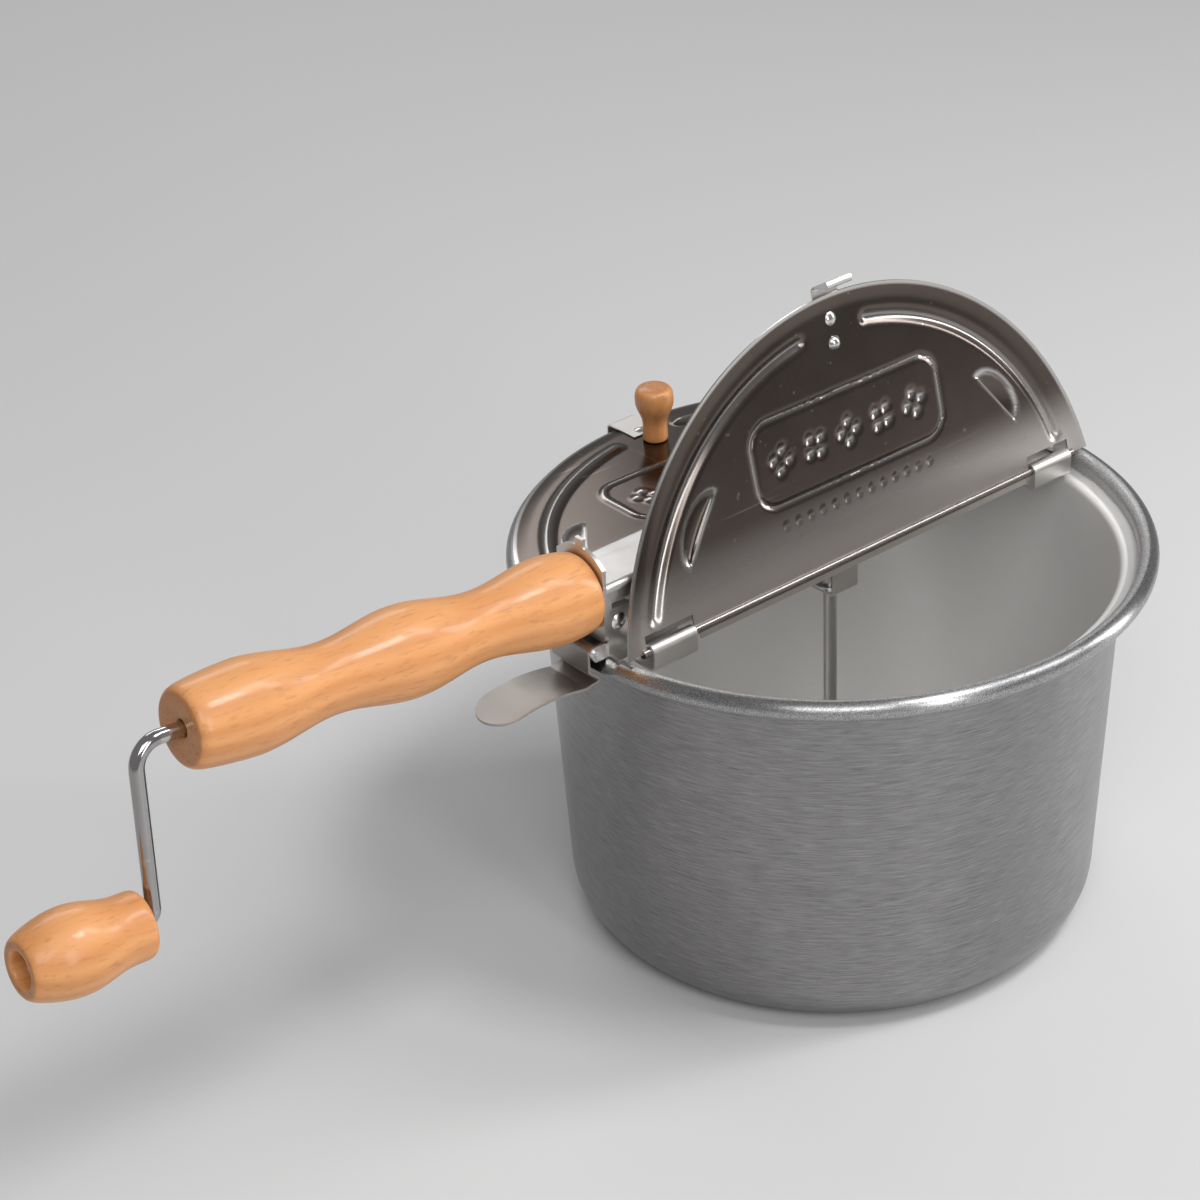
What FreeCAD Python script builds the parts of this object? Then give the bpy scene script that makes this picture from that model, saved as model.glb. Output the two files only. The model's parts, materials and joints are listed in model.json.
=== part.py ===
import FreeCAD, Part
import math
import os
import re
import Sketcher

# A stovetop popcorn popper. The origin is the middle of the pan's base, Z is up, X runs
# along the crossbar with the handle at minus X, the open lid is on the minus Y side.

Vector = FreeCAD.Vector

# Driving sizes, in millimetres and degrees
SIZES = {
    # pan
    "rim_radius": 120.5,
    "bead_radius": 3.7,
    "bead_height": 150,
    "pan_wall": 1.5,
    "wall_inset": 12.6,
    "wall_draw": 7,
    "base_corner": 18,
    "shelf_depth": 5,
    "seam_height": 20,
    "bead_overlap": 10,
    # crossbar
    "seat_gap": 0.15,
    "bar_sheet": 1.2,
    "bar_half_width": 12.4,
    "bar_height": 28.3,
    "bar_bend": 2.5,
    "bar_inset": 3.5,
    "bar_knee": 22,
    "bar_toe_inset": 14.5,
    "bar_toe_height": 12.3,
    "foot_width": 4.9,
    "foot_length": 10,
    "hook_half_width": 10,
    "hook_gap": 0.6,
    "hook_lip": 3,
    "bar_slot_start": 2,
    "bar_slot_length": 13,
    "bar_slot_height": 2.4,
    "bar_slot_drop": 6.6,
    # lid hinges
    "hinge_offset": 20.3,
    "hinge_rise": 1.5,
    "hem_radius": 1.65,
    "hinge_gap": 0.1,
    "knuckle_sheet": 1,
    "knuckle_inset": 25,
    "knuckle_width": 20,
    "trough_depth": 6.2,
    "slot_margin": 1,
    # lids
    "lid_inset": 3,
    "lid_sheet": 0.6,
    "lid_edge_width": 6.5,
    "lid_rest_gap": 0.3,
    "lid_tail": 3.8,
    "lean_gap": 0.2,
    "bead_arc_inset": 12.5,
    "bead_arc_width": 6.8,
    "bead_arc_height": 1.5,
    "bead_arc_start": 9,
    "bead_arc_end": 73,
    "vent_inset": 26.5,
    "vent_angle": 53.5,
    "vent_length": 28,
    "vent_width": 8,
    "vent_height": 1.8,
    "vent_slit": 0.4,
    # lid fittings
    "knob_inset": 18.2,
    "knob_height": 23,
    "knob_head_radius": 7.6,
    "knob_neck_radius": 4.9,
    "knob_foot_radius": 5.1,
    "knob_neck_height": 8,
    "lid_screw_radius": 1.5,
    "lid_screw_head": 2.7,
    "lid_screw_depth": 14,
    "clip_inset": 9.2,
    "clip_half_width": 6,
    "clip_sheet": 0.6,
    "clip_overhang": 3.8,
    "clip_drop": 9,
    "clip_rivet_radius": 1.4,
    # crank and handle
    "shaft_rise": 12,
    "shaft_tilt": 5.3,
    "rod_radius": 2.6,
    "running_gap": 0.08,
    "elbow_standoff": 180.5,
    "rod_bend": 9,
    "crank_arm": 60.5,
    "crank_rest": 7.6,
    "plate_sheet": 1.5,
    "plate_top_radius": 17.5,
    "plate_foot": 6.4,
    "ear_length": 10,
    "ear_place": 12,
    "ear_height": 12,
    "prong_width": 4,
    "prong_height": 3,
    "plate_rivet_radius": 1.8,
    "grip_bore_gap": 0.4,
    "grip_start_radius": 14.2,
    "grip_bulge": 16.3,
    "grip_waist": 12.2,
    "grip_bulge_inset": 14.5,
    "grip_wave": 31,
    "grip_length": 164,
    "grip_end_radius": 13.4,
    "grip_screw_radius": 1.6,
    "grip_screw_depth": 16,
    "grip_screw_place": 8,
    "crank_knob_length": 44.5,
    "crank_knob_gap": 4.5,
    "crank_knob_bend": 4,
    "crank_knob_straight": 8,
    "crank_knob_swell": 25,
    "crank_knob_end_radius": 11.8,
    "crank_knob_bulge": 14.8,
    "crank_knob_tip_radius": 10.6,
    "crank_knob_bore": 6,
    "crank_knob_bore_depth": 8,
    "retainer_sheet": 0.8,
    "bearing_place": 18,
    "bearing_half_width": 7.5,
    "end_clip_radius": 4.4,
    # gears and stirrer
    "gear_teeth": 12,
    "gear_pitch_radius": 8.8,
    "gear_face": 4.4,
    "gear_addendum": 1,
    "gear_dedendum": 1.4,
    "gear_backlash": 0.9,
    "gear_flank_angle": 22,
    "gear_back": 1.2,
    "crank_hub_radius": 5,
    "stir_hub_radius": 4.4,
    "stir_top_gap": 0.6,
    "bracket_sheet": 1.2,
    "bracket_half_width": 6,
    "bracket_depth": 22.5,
    "bracket_waist": 8.6,
    "bracket_rivet_radius": 1.6,
    "bracket_rivet_height": 20,
    "washer_sheet": 0.8,
    "washer_radius": 6.4,
    "wire_radius": 1.6,
    "wire_reach": 80,
    "wire_height": 2.3,
    "wire_spacing": 8,
    # latch
    "latch_sheet": 1,
    "latch_half_width": 10,
    "latch_pin_radius": 1.25,
    "latch_pin_out": 1.9,
    "lug_sheet": 1.2,
    "latch_leg": 7.6,
    "latch_bite": 1.6,
    "latch_gap": 0.8,
    "latch_reach": 44,
}

# Places and sizes that follow from the driving ones
PLACES = {
    "rim_top": "bead_height + bead_radius",
    "bead_centre": "rim_radius - bead_radius",
    "wall_top_radius": "rim_radius - wall_inset",
    "base_radius": "wall_top_radius - wall_draw",
    "shelf_floor": "bead_height - shelf_depth + pan_wall",
    "wall_flare": "(wall_top_radius - base_radius) / (shelf_floor - pan_wall)",
    "seam_outer": "base_radius + wall_flare * seam_height",
    "seam_inner": "base_radius - pan_wall + wall_flare * (seam_height - pan_wall)",
    "bar_reach": "rim_radius - bar_inset",
    "bar_toe": "rim_radius - bar_toe_inset",
    "knuckle_place": "rim_radius - knuckle_inset",
    "foot_floor": "rim_top + seat_gap",
    "foot_top": "foot_floor + bar_sheet",
    "bar_top": "rim_top + bar_height",
    "bar_inner": "bar_half_width - bar_sheet",
    "bar_end": "bar_toe + 3",
    "hinge_height": "rim_top + hinge_rise",
    "knuckle_inner": "hem_radius + hinge_gap",
    "knuckle_outer": "knuckle_inner + knuckle_sheet",
    "trough_floor": "rim_top - trough_depth",
    "shaft_height": "rim_top + shaft_rise",
    "lid_radius": "rim_radius - lid_inset",
    "lid_flat_radius": "lid_radius - lid_edge_width",
    "bead_arc_radius": "lid_radius - bead_arc_inset",
    "vent_place": "lid_radius - vent_inset",
    "knob_place": "lid_radius - hinge_offset - knob_inset",
    "clip_place": "lid_radius - hinge_offset - clip_inset",
    "clip_reach": "lid_radius + clip_overhang",
    "lid_edge_drop": "hinge_height - lid_sheet / 2 - rim_top - lid_rest_gap",
    "lean_run": "hinge_offset - bar_half_width + bar_bend",
    "lean_height": "bar_top - bar_bend - hinge_height",
    "lean_reach": "sqrt(lean_run ^ 2 + lean_height ^ 2)",
    "lean_clear": "bar_bend + lean_gap + lid_sheet / 2 + bead_arc_height",
    "open_angle": "180 - atan(lean_height / lean_run) / 1deg - asin(lean_clear / lean_reach) / 1deg",
    "rod_bore": "rod_radius + running_gap",
    "plate_face": "bar_reach + plate_sheet",
    "grip_first_bulge": "plate_face + grip_bulge_inset",
    "elbow_reach": "plate_face + elbow_standoff",
    "plate_axis_height": "shaft_height + plate_face * tan(shaft_tilt)",
    "knob_pin_reach": "elbow_reach + crank_knob_gap",
    "cone_angle": "(90 - shaft_tilt) / 2",
    "cone_reach": "gear_pitch_radius / sin(cone_angle)",
    "pitch_depth": "gear_pitch_radius / tan(cone_angle)",
    "tip_angle": "cone_angle + atan(gear_addendum / cone_reach) / 1deg",
    "root_angle": "cone_angle - atan(gear_dedendum / cone_reach) / 1deg",
    "inner_share": "(cone_reach - gear_face) / cone_reach",
    "tooth_share": "180 / gear_teeth",
    "gear_back_depth": "pitch_depth + gear_dedendum * sin(cone_angle) + gear_back",
    "bracket_floor": "rim_top - bracket_depth",
    "bracket_top": "bracket_floor + bracket_sheet",
    "washer_top": "bracket_top + washer_sheet",
    "bracket_outer": "bar_inner",
    "lower_wire_height": "pan_wall + wire_height",
    "upper_wire_height": "lower_wire_height + wire_spacing",
    "roll_radius": "latch_pin_radius + running_gap + latch_sheet",
    "latch_pin_reach": "rim_radius + latch_pin_out",
    "latch_pin_height": "foot_top + seat_gap + roll_radius",
    "bead_floor": "bead_height - bead_radius",
}

document = FreeCAD.newDocument("PopcornPopper")
sheet = document.addObject("Spreadsheet::Sheet", "Sizes")
for row, (alias, value) in enumerate(SIZES.items(), 1):
    sheet.set("A%d" % row, str(value))
    sheet.setAlias("A%d" % row, alias)
document.recompute()


def formula(text):
    """Write a formula of named sizes and places the way the document spells it."""
    def spelled(found):
        name = found.group(0)
        if name in PLACES:
            return "(" + formula(PLACES[name]) + ")"
        return "Sizes." + name
    return re.sub(r"\b[a-z]+(?:_[a-z]+)+\b", spelled, str(text))


def number(text):
    """Work out a formula of named sizes and places."""
    value = sheet.evalExpression(formula(text))
    return float(getattr(value, "Value", value))


def bind(item, **formulas):
    """Tie an object's properties to formulas of named sizes."""
    for name, text in formulas.items():
        item.setExpression(name, formula(text))


def new_body(label, placement=None):
    """Start a sub-part, placed by an expression where it doesn't sit at the origin."""
    body = document.addObject("PartDesign::Body", label)
    body.Label = label
    if placement:
        body.setExpression("Placement", placement)
    return body


def at(x="0", y="0", z="0", axis="Z", angle="0"):
    """A placement: a move to (x, y, z) and a turn about one of the axes."""
    ways = {"X": "1; 0; 0", "Y": "0; 1; 0", "Z": "0; 0; 1"}
    place = "; ".join(formula(text) for text in (x, y, z))
    turn = "create(<<rotation>>; create(<<vector>>; %s); %s)" % (ways[axis], formula(angle))
    return "create(<<placement>>; create(<<vector>>; %s); %s)" % (place, turn)


def origin_item(body, role):
    """One of a body's own origin planes or axes."""
    return [item for item in body.Origin.OriginFeatures if item.Role == role][0]


def new_sketch(body, role, name, height=None, turn=None):
    """A sketch on an origin plane, moved along its normal or turned about its upright."""
    sketch = body.newObject("Sketcher::SketchObject", name)
    sketch.AttachmentSupport = [(origin_item(body, role), "")]
    sketch.MapMode = "FlatFace"
    if height:
        sketch.setExpression("AttachmentOffset", at(z=height))
    if turn:
        sketch.setExpression("AttachmentOffset", at(axis="Y", angle=turn))
    return sketch


def pin_point(sketch, geometry, end, x, y):
    """Fix a point of a sketch at a place given by two formulas."""
    for kind, text, axis in (("DistanceX", x, -2), ("DistanceY", y, -1)):
        if str(text) == "0":
            sketch.addConstraint(Sketcher.Constraint("PointOnObject", geometry, end, axis))
            continue
        spot = Sketcher.Constraint(kind, -1, 1, geometry, end, number(text))
        label = "%s%d_%d" % (kind, geometry, end)
        index = sketch.addConstraint(spot)
        sketch.renameConstraint(index, label)
        sketch.setExpression("Constraints." + label, formula(text))


def fix_radius(sketch, geometry, text):
    """Tie the radius of a circle or an arc to a formula."""
    label = "Radius%d" % geometry
    index = sketch.addConstraint(Sketcher.Constraint("Radius", geometry, number(text)))
    sketch.renameConstraint(index, label)
    sketch.setExpression("Constraints." + label, formula(text))


def arc_about(centre, radius, start, end, anticlockwise):
    """An arc from start to end, and which of its own ends each of them is."""
    first, last = (start, end) if anticlockwise else (end, start)
    angles = [math.atan2(point.y - centre.y, point.x - centre.x) for point in (first, last)]
    if angles[1] < angles[0]:
        angles[1] += 2 * math.pi
    circle = Part.Circle(centre, Vector(0, 0, 1), radius)
    ends = (1, 2) if anticlockwise else (2, 1)
    return Part.ArcOfCircle(circle, angles[0], angles[1]), ends


def draw(sketch, corners, closed=True):
    """Draw a line of edges. A corner is (x, y) where it is sharp, (x, y, radius) where it
    is rounded, and (x, y, radius, "left" or "right") at the end of an arc that turns so."""
    count = len(corners)
    points = [Vector(number(corner[0]), number(corner[1]), 0) for corner in corners]
    rounds = {}
    for k, corner in enumerate(corners):
        if len(corner) != 3:
            continue
        back = (points[k - 1] - points[k]).normalize()
        ahead = (points[(k + 1) % count] - points[k]).normalize()
        half = back.getAngle(ahead) / 2
        radius = number(corner[2])
        trim = radius / math.tan(half)
        centre = points[k] + (back + ahead).normalize() * (radius / math.sin(half))
        left = (back.cross(ahead)).z < 0
        rounds[k] = (points[k] + back * trim, points[k] + ahead * trim, centre, radius, left)
    edges = []
    for k in range(count if closed else count - 1):
        following = (k + 1) % count
        start = rounds[k][1] if k in rounds else points[k]
        end = rounds[following][0] if following in rounds else points[following]
        target = corners[following]
        if len(target) == 4:
            radius = number(target[2])
            left = target[3] == "left"
            chord = end - start
            rise = math.sqrt(max(radius ** 2 - chord.Length ** 2 / 4, 0))
            side = Vector(-chord.y, chord.x, 0).normalize() * (rise if left else -rise)
            curve, ends = arc_about((start + end) / 2 + side, radius, start, end, left)
            geometry = sketch.addGeometry(curve)
            edges.append((geometry,) + ends)
        else:
            edges.append((sketch.addGeometry(Part.LineSegment(start, end)), 1, 2))
    for k, corner in enumerate(corners):
        if k in rounds:
            start, end, centre, radius, left = rounds[k]
            curve, ends = arc_about(centre, radius, start, end, left)
            arc = sketch.addGeometry(curve)
            spot = sketch.addGeometry(Part.Point(points[k]), True)
            before, after = edges[k - 1], edges[k]
            pin_point(sketch, spot, 1, corner[0], corner[1])
            sketch.addConstraint([
                Sketcher.Constraint("PointOnObject", spot, 1, before[0]),
                Sketcher.Constraint("PointOnObject", spot, 1, after[0]),
                Sketcher.Constraint("Tangent", before[0], before[2], arc, ends[0]),
                Sketcher.Constraint("Tangent", arc, ends[1], after[0], after[1]),
            ])
            fix_radius(sketch, arc, corner[2])
        elif closed or 0 < k < count - 1:
            before, after = edges[k - 1], edges[k]
            joined = Sketcher.Constraint("Coincident", before[0], before[2], after[0], after[1])
            sketch.addConstraint(joined)
            pin_point(sketch, after[0], after[1], corner[0], corner[1])
        elif k == 0:
            pin_point(sketch, edges[0][0], edges[0][1], corner[0], corner[1])
        else:
            pin_point(sketch, edges[-1][0], edges[-1][2], corner[0], corner[1])
    for k, edge in enumerate(edges):
        target = corners[(k + 1) % count]
        if len(target) == 4:
            fix_radius(sketch, edge[0], target[2])
    return sketch


def outline(body, role, name, corners, **where):
    """A closed outline on an origin plane."""
    return draw(new_sketch(body, role, name, **where), corners)


def circle(body, role, name, x, y, radius, **where):
    """A circle on an origin plane."""
    sketch = new_sketch(body, role, name, **where)
    shape = Part.Circle(Vector(number(x), number(y), 0), Vector(0, 0, 1), number(radius))
    geometry = sketch.addGeometry(shape)
    pin_point(sketch, geometry, 3, x, y)
    fix_radius(sketch, geometry, radius)
    return sketch


def mirrored(corners):
    """The same corners on the other side of the sketch's upright."""
    other = []
    for corner in corners:
        flipped = ["-(%s)" % corner[0]] + list(corner[1:])
        if len(corner) == 4:
            flipped[3] = "right" if corner[3] == "left" else "left"
        other.append(tuple(flipped))
    return other


def box_corners(left, right, floor, top):
    """The corners of an upright rectangle."""
    return [(left, floor), (right, floor), (right, top), (left, top)]


def feature(body, kind, name, sketch, **formulas):
    """Add a feature made from a sketch to a body."""
    item = body.newObject("PartDesign::" + kind, name)
    item.Profile = sketch
    bind(item, **formulas)
    body.Tip = item
    sketch.Visibility = False
    return item


def pad(body, name, sketch, depth, symmetric=True, kind="Pad", reverse=False):
    """Add, or with kind Pocket cut, the sketch's outline to a depth."""
    item = feature(body, kind, name, sketch, Length=depth)
    item.SideType = "Symmetric" if symmetric else "One side"
    item.Reversed = reverse
    return item


def pocket(body, name, sketch, depth, symmetric=True, reverse=False):
    """Cut the sketch's outline to a depth."""
    return pad(body, name, sketch, depth, symmetric, "Pocket", reverse)


def revolve(body, name, sketch, axis="V_Axis", angle="360", kind="Revolution"):
    """Turn the sketch's outline about one of the sketch's axes."""
    item = feature(body, kind, name, sketch, Angle=angle)
    item.ReferenceAxis = (sketch, [axis])
    return item


def sweep(body, name, profile, route, kind="AdditivePipe"):
    """Run a profile along the edges of another sketch."""
    item = body.newObject("PartDesign::" + kind, name)
    item.Profile = profile
    item.Spine = (route, ["Edge%d" % (k + 1) for k in range(len(route.Shape.Edges))])
    body.Tip = item
    return item


def round_edges(body, name, radius, chosen):
    """Fillet the edges of a body that a test picks."""
    document.recompute()
    base = body.Tip
    names = ["Edge%d" % (k + 1) for k, edge in enumerate(base.Shape.Edges) if chosen(edge)]
    item = body.newObject("PartDesign::Fillet", name)
    item.Base = (base, names)
    bind(item, Radius=radius)
    body.Tip = item
    return item


def make_pan():
    """The spun pan: a flared wall with a shelf and an open rolled bead, and the floor that
    meets the wall above the rounded corner."""
    wall = new_body("pan")
    roll = "bead_radius - pan_wall"
    wall_inner = "wall_top_radius - pan_wall"
    corners = [
        ("seam_outer", "seam_height"),
        ("wall_top_radius", "shelf_floor - pan_wall", "pan_wall"),
        ("bead_centre - (%s)" % roll, "shelf_floor - pan_wall", "pan_wall * 1.3"),
        ("bead_centre - (%s)" % roll, "bead_height"),
        ("bead_centre", "bead_height + (%s)" % roll, roll, "right"),
        ("bead_centre + (%s)" % roll, "bead_height", roll, "right"),
        ("bead_centre - (%s) * sin(bead_overlap)" % roll,
         "bead_height - (%s) * cos(bead_overlap)" % roll, roll, "right"),
        ("bead_centre - bead_radius * sin(bead_overlap)",
         "bead_height - bead_radius * cos(bead_overlap)"),
        ("rim_radius", "bead_height", "bead_radius", "left"),
        ("bead_centre", "rim_top", "bead_radius", "left"),
        ("bead_centre - bead_radius", "bead_height", "bead_radius", "left"),
        ("bead_centre - bead_radius", "shelf_floor", "pan_wall * 0.3"),
        (wall_inner, "shelf_floor", "pan_wall * 2"),
        ("seam_inner", "seam_height"),
    ]
    revolve(wall, "PanWall", outline(wall, "XZ_Plane", "WallProfile", corners))
    floor = new_body("pan_floor")
    corners = [
        ("0", "0"),
        ("base_radius", "0", "base_corner"),
        ("seam_outer", "seam_height"),
        ("seam_inner", "seam_height"),
        ("base_radius - pan_wall", "pan_wall", "base_corner - pan_wall"),
        ("0", "pan_wall"),
    ]
    revolve(floor, "PanFloor", outline(floor, "XZ_Plane", "FloorProfile", corners))
    return [wall, floor]


def make_crossbar():
    """The bent sheet bar over the pan: channel, feet, hinge hooks, bearing tab, rim hook."""
    body = new_body("crossbar")
    outer = [
        ("-bar_reach", "foot_floor"),
        ("-bar_reach", "bar_top"),
        ("bar_knee", "bar_top", "bar_bend * 12"),
        ("bar_toe", "rim_top + bar_toe_height", "bar_bend * 2"),
        ("bar_end", "foot_floor"),
    ]
    pad(body, "Channel", outline(body, "XZ_Plane", "ChannelSide", outer), "bar_half_width * 2")
    inner = [
        ("-bar_reach - 1", "foot_floor - 1"),
        ("-bar_reach - 1", "bar_top - bar_sheet"),
        ("bar_knee - bar_sheet * 0.1", "bar_top - bar_sheet", "bar_bend * 12 - bar_sheet"),
        ("bar_toe - bar_sheet", "rim_top + bar_toe_height - bar_sheet", "bar_bend * 2 - bar_sheet"),
        ("bar_end - bar_sheet", "foot_floor - 1"),
    ]
    pocket(body, "ChannelHollow", outline(body, "XZ_Plane", "HollowSide", inner), "bar_inner * 2")

    def along_top(edge):
        middle = edge.valueAt((edge.FirstParameter + edge.LastParameter) / 2)
        upright = abs(edge.Vertexes[0].Point.x - edge.Vertexes[-1].Point.x) < 0.5
        high = middle.z > number("rim_top + bar_toe_height * 0.8")
        return abs(abs(middle.y) - number("bar_half_width")) < 0.01 and high and not upright

    round_edges(body, "TopBends", "bar_bend", along_top)
    slot_top = "bar_top - bar_slot_drop"
    slot = box_corners("-bar_reach + bar_slot_start", "-bar_reach + bar_slot_start + bar_slot_length",
                       slot_top + " - bar_slot_height", slot_top)
    pocket(body, "WallSlots", outline(body, "XZ_Plane", "WallSlotSide", slot), "bar_half_width * 3")
    for name, start, end in (
        ("NearFoot", "-bar_reach", "-bar_reach + foot_length"),
        ("FarFoot", "bar_end - foot_length / 2", "bar_reach"),
    ):
        edge = "bar_half_width + foot_width"
        plate = box_corners(start, end, "-(%s)" % edge, edge)
        plate = outline(body, "XY_Plane", name + "Plan", plate, height="foot_floor")
        pad(body, name, plate, "bar_sheet", symmetric=False)

    trough = [
        ("bar_inner", "foot_top"),
        ("bar_inner", "trough_floor", "knuckle_sheet * 2"),
        ("hinge_offset + knuckle_outer", "trough_floor", "knuckle_sheet * 2"),
        ("hinge_offset + knuckle_outer", "hinge_height"),
        ("hinge_offset", "hinge_height + knuckle_outer", "knuckle_outer", "left"),
        ("hinge_offset - knuckle_outer", "hinge_height", "knuckle_outer", "left"),
        ("hinge_offset - knuckle_outer * cos(30)", "hinge_height - knuckle_outer * sin(30)",
         "knuckle_outer", "left"),
        ("hinge_offset - knuckle_inner * cos(30)", "hinge_height - knuckle_inner * sin(30)"),
        ("hinge_offset - knuckle_inner", "hinge_height", "knuckle_inner", "right"),
        ("hinge_offset", "hinge_height + knuckle_inner", "knuckle_inner", "right"),
        ("hinge_offset + knuckle_inner", "hinge_height", "knuckle_inner", "right"),
        ("hinge_offset + knuckle_inner", "trough_floor + knuckle_sheet", "knuckle_sheet"),
        ("bar_inner + knuckle_sheet", "trough_floor + knuckle_sheet", "knuckle_sheet"),
        ("bar_inner + knuckle_sheet", "foot_top"),
    ]
    for end in (-1, 1):
        for side, corners in (("Rear", trough), ("Front", mirrored(trough))):
            name = ("Near" if end < 0 else "Far") + side + "Hinge"
            place = "%d * knuckle_place" % end
            pad(body, name, outline(body, "YZ_Plane", name + "Side", corners, height=place),
                "knuckle_width")

    tab = box_corners("-bearing_half_width", "bearing_half_width",
                      "shaft_height - bearing_half_width", "bar_top - bar_sheet / 2")
    tab = outline(body, "YZ_Plane", "BearingTabFace", tab, height="bearing_place")
    pad(body, "BearingTab", tab, "bar_sheet", symmetric=False)
    bore = body.newObject("PartDesign::SubtractiveCylinder", "BearingBore")
    bind(bore, Radius="rod_bore", Height="bar_sheet * 6")
    bore.setExpression("Placement", at(z="shaft_height", axis="Y", angle="90 + shaft_tilt")
                       + " * " + at(z="bearing_place - bar_sheet * 3"))
    body.Tip = bore

    inside = "rim_radius + hook_gap"
    lip_top = "bead_floor - hook_gap"
    hook = [
        ("bar_reach - 2", "foot_floor"),
        (inside, "foot_floor"),
        (inside, lip_top),
        ("rim_radius - hook_lip", lip_top),
        ("rim_radius - hook_lip", lip_top + " - bar_sheet"),
        (inside + " + bar_sheet", lip_top + " - bar_sheet", "bar_sheet"),
        (inside + " + bar_sheet", "foot_top", "bar_sheet"),
        ("bar_reach - 2", "foot_top"),
    ]
    pad(body, "RimHook", outline(body, "XZ_Plane", "HookSide", hook), "hook_half_width * 2")

    nose = box_corners("-latch_pin_reach", "-bar_reach + 1", "-latch_half_width", "latch_half_width")
    pad(body, "Nose", outline(body, "XY_Plane", "NosePlan", nose, height="foot_floor"), "bar_sheet",
        symmetric=False)
    lug = [
        ("-bar_reach + 1", "foot_floor"),
        ("-bar_reach + 1", "latch_pin_height"),
        ("-bar_reach - 0.5", "latch_pin_height + roll_radius", "roll_radius * 0.5"),
        ("-latch_pin_reach", "latch_pin_height + roll_radius"),
        ("-latch_pin_reach - roll_radius", "latch_pin_height", "roll_radius", "left"),
        ("-latch_pin_reach", "foot_floor", "bar_sheet"),
    ]
    for name, spot in (("RearLug", "-latch_half_width - seat_gap - lug_sheet"),
                       ("FrontLug", "latch_half_width + seat_gap")):
        pad(body, name, outline(body, "XZ_Plane", name + "Side", lug, height=spot), "lug_sheet",
            symmetric=False)
    for name, x, z, radius in (
        ("PinHole", "-latch_pin_reach", "latch_pin_height", "latch_pin_radius"),
        ("PlateRivetHole", "-bar_reach + ear_length / 2", "foot_top + ear_place", "plate_rivet_radius"),
        ("BracketRivetHole", "0", "foot_floor + bracket_rivet_height", "bracket_rivet_radius"),
    ):
        pocket(body, name + "s", circle(body, "XZ_Plane", name, x, z, radius), "bar_half_width * 3")
    return body


def make_handle_plate():
    """The upright end plate with ears riveted inside the channel."""
    body = new_body("handle_plate")
    side = "sqrt(plate_top_radius ^ 2 - bar_half_width ^ 2)"
    face = [
        ("-bar_half_width", "rim_top + plate_foot", "bar_bend"),
        ("bar_half_width", "rim_top + plate_foot", "bar_bend"),
        ("bar_half_width", "plate_axis_height + " + side),
        ("0", "plate_axis_height + plate_top_radius", "plate_top_radius", "left"),
        ("-bar_half_width", "plate_axis_height + " + side, "plate_top_radius", "left"),
    ]
    face = outline(body, "YZ_Plane", "PlateFace", face, height="-plate_face")
    pad(body, "Plate", face, "plate_sheet", symmetric=False)
    top = "plate_axis_height + plate_top_radius"
    prong = box_corners("-prong_width / 2", "prong_width / 2", top + " - prong_height",
                        top + " + prong_height")
    prong = outline(body, "YZ_Plane", "ProngFace", prong, height="-plate_face")
    pad(body, "Prong", prong, "plate_sheet", symmetric=False)
    for name, sign in (("RearEar", 1), ("FrontEar", -1)):
        ear = box_corners("-bar_reach", "-bar_reach + ear_length",
                          "foot_top + ear_place - ear_height / 2",
                          "foot_top + ear_place + ear_height / 2")
        spot = "%d * (bar_inner - plate_sheet / 2) - plate_sheet / 2" % -sign
        pad(body, name, outline(body, "XZ_Plane", name + "Side", ear, height=spot), "plate_sheet",
            symmetric=False)
    rivet = circle(body, "XZ_Plane", "EarRivetHole", "-bar_reach + ear_length / 2",
                   "foot_top + ear_place", "plate_rivet_radius")
    pocket(body, "EarRivetHoles", rivet, "bar_half_width * 3")
    bore = body.newObject("PartDesign::SubtractiveCylinder", "PlateBore")
    bind(bore, Radius="rod_bore", Height="plate_sheet * 6")
    bore.setExpression("Placement", at(z="shaft_height", axis="Y", angle="90 + shaft_tilt")
                       + " * " + at(z="-plate_face - plate_sheet * 3"))
    body.Tip = bore
    for k in (-1, 1):
        name = "ScrewHole%d" % (k + 2)
        spot = circle(body, "YZ_Plane", name, "%d * grip_screw_place" % k, "plate_axis_height",
                      "grip_screw_radius + 0.3", height="-plate_face - 1")
        pocket(body, name + "Cut", spot, "plate_sheet * 4")
    return body


TILTED = at(z="shaft_height", axis="Y", angle="shaft_tilt")
CRANKED = TILTED + " * " + at(axis="X", angle="-crank_rest")
REAR_LID = at(z="hinge_height")
FRONT_LID = (at(y="-hinge_offset", z="hinge_height", axis="X", angle="-open_angle") + " * "
             + at(axis="Z", angle="180") + " * " + at(y="-hinge_offset"))


def wave(corners, start, end, low_first):
    """Add two equal arcs that run level from one radius to another."""
    (from_place, from_radius), (to_place, to_radius) = start, end
    run = "((%s) - (%s))" % (from_place, to_place)
    rise = "((%s) - (%s))" % (from_radius, to_radius)
    bend = "((%s ^ 2 + %s ^ 2) / (4 * abs(%s)))" % (run, rise, rise)
    turns = ("right", "left") if low_first else ("left", "right")
    middle = ("((%s) + (%s)) / 2" % (from_place, to_place),
              "((%s) + (%s)) / 2" % (from_radius, to_radius))
    corners.append(middle + (bend, turns[0]))
    corners.append((to_place, to_radius, bend, turns[1]))


def crown(corners, start, end):
    """Add one arc from one radius to another, level at the wider of its two ends."""
    (from_place, from_radius), (to_place, to_radius) = start, end
    run = "((%s) - (%s))" % (from_place, to_place)
    rise = "((%s) - (%s))" % (from_radius, to_radius)
    bend = "((%s ^ 2 + %s ^ 2) / (2 * abs(%s)))" % (run, rise, rise)
    corners.append((to_place, to_radius, bend, "left"))


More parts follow.
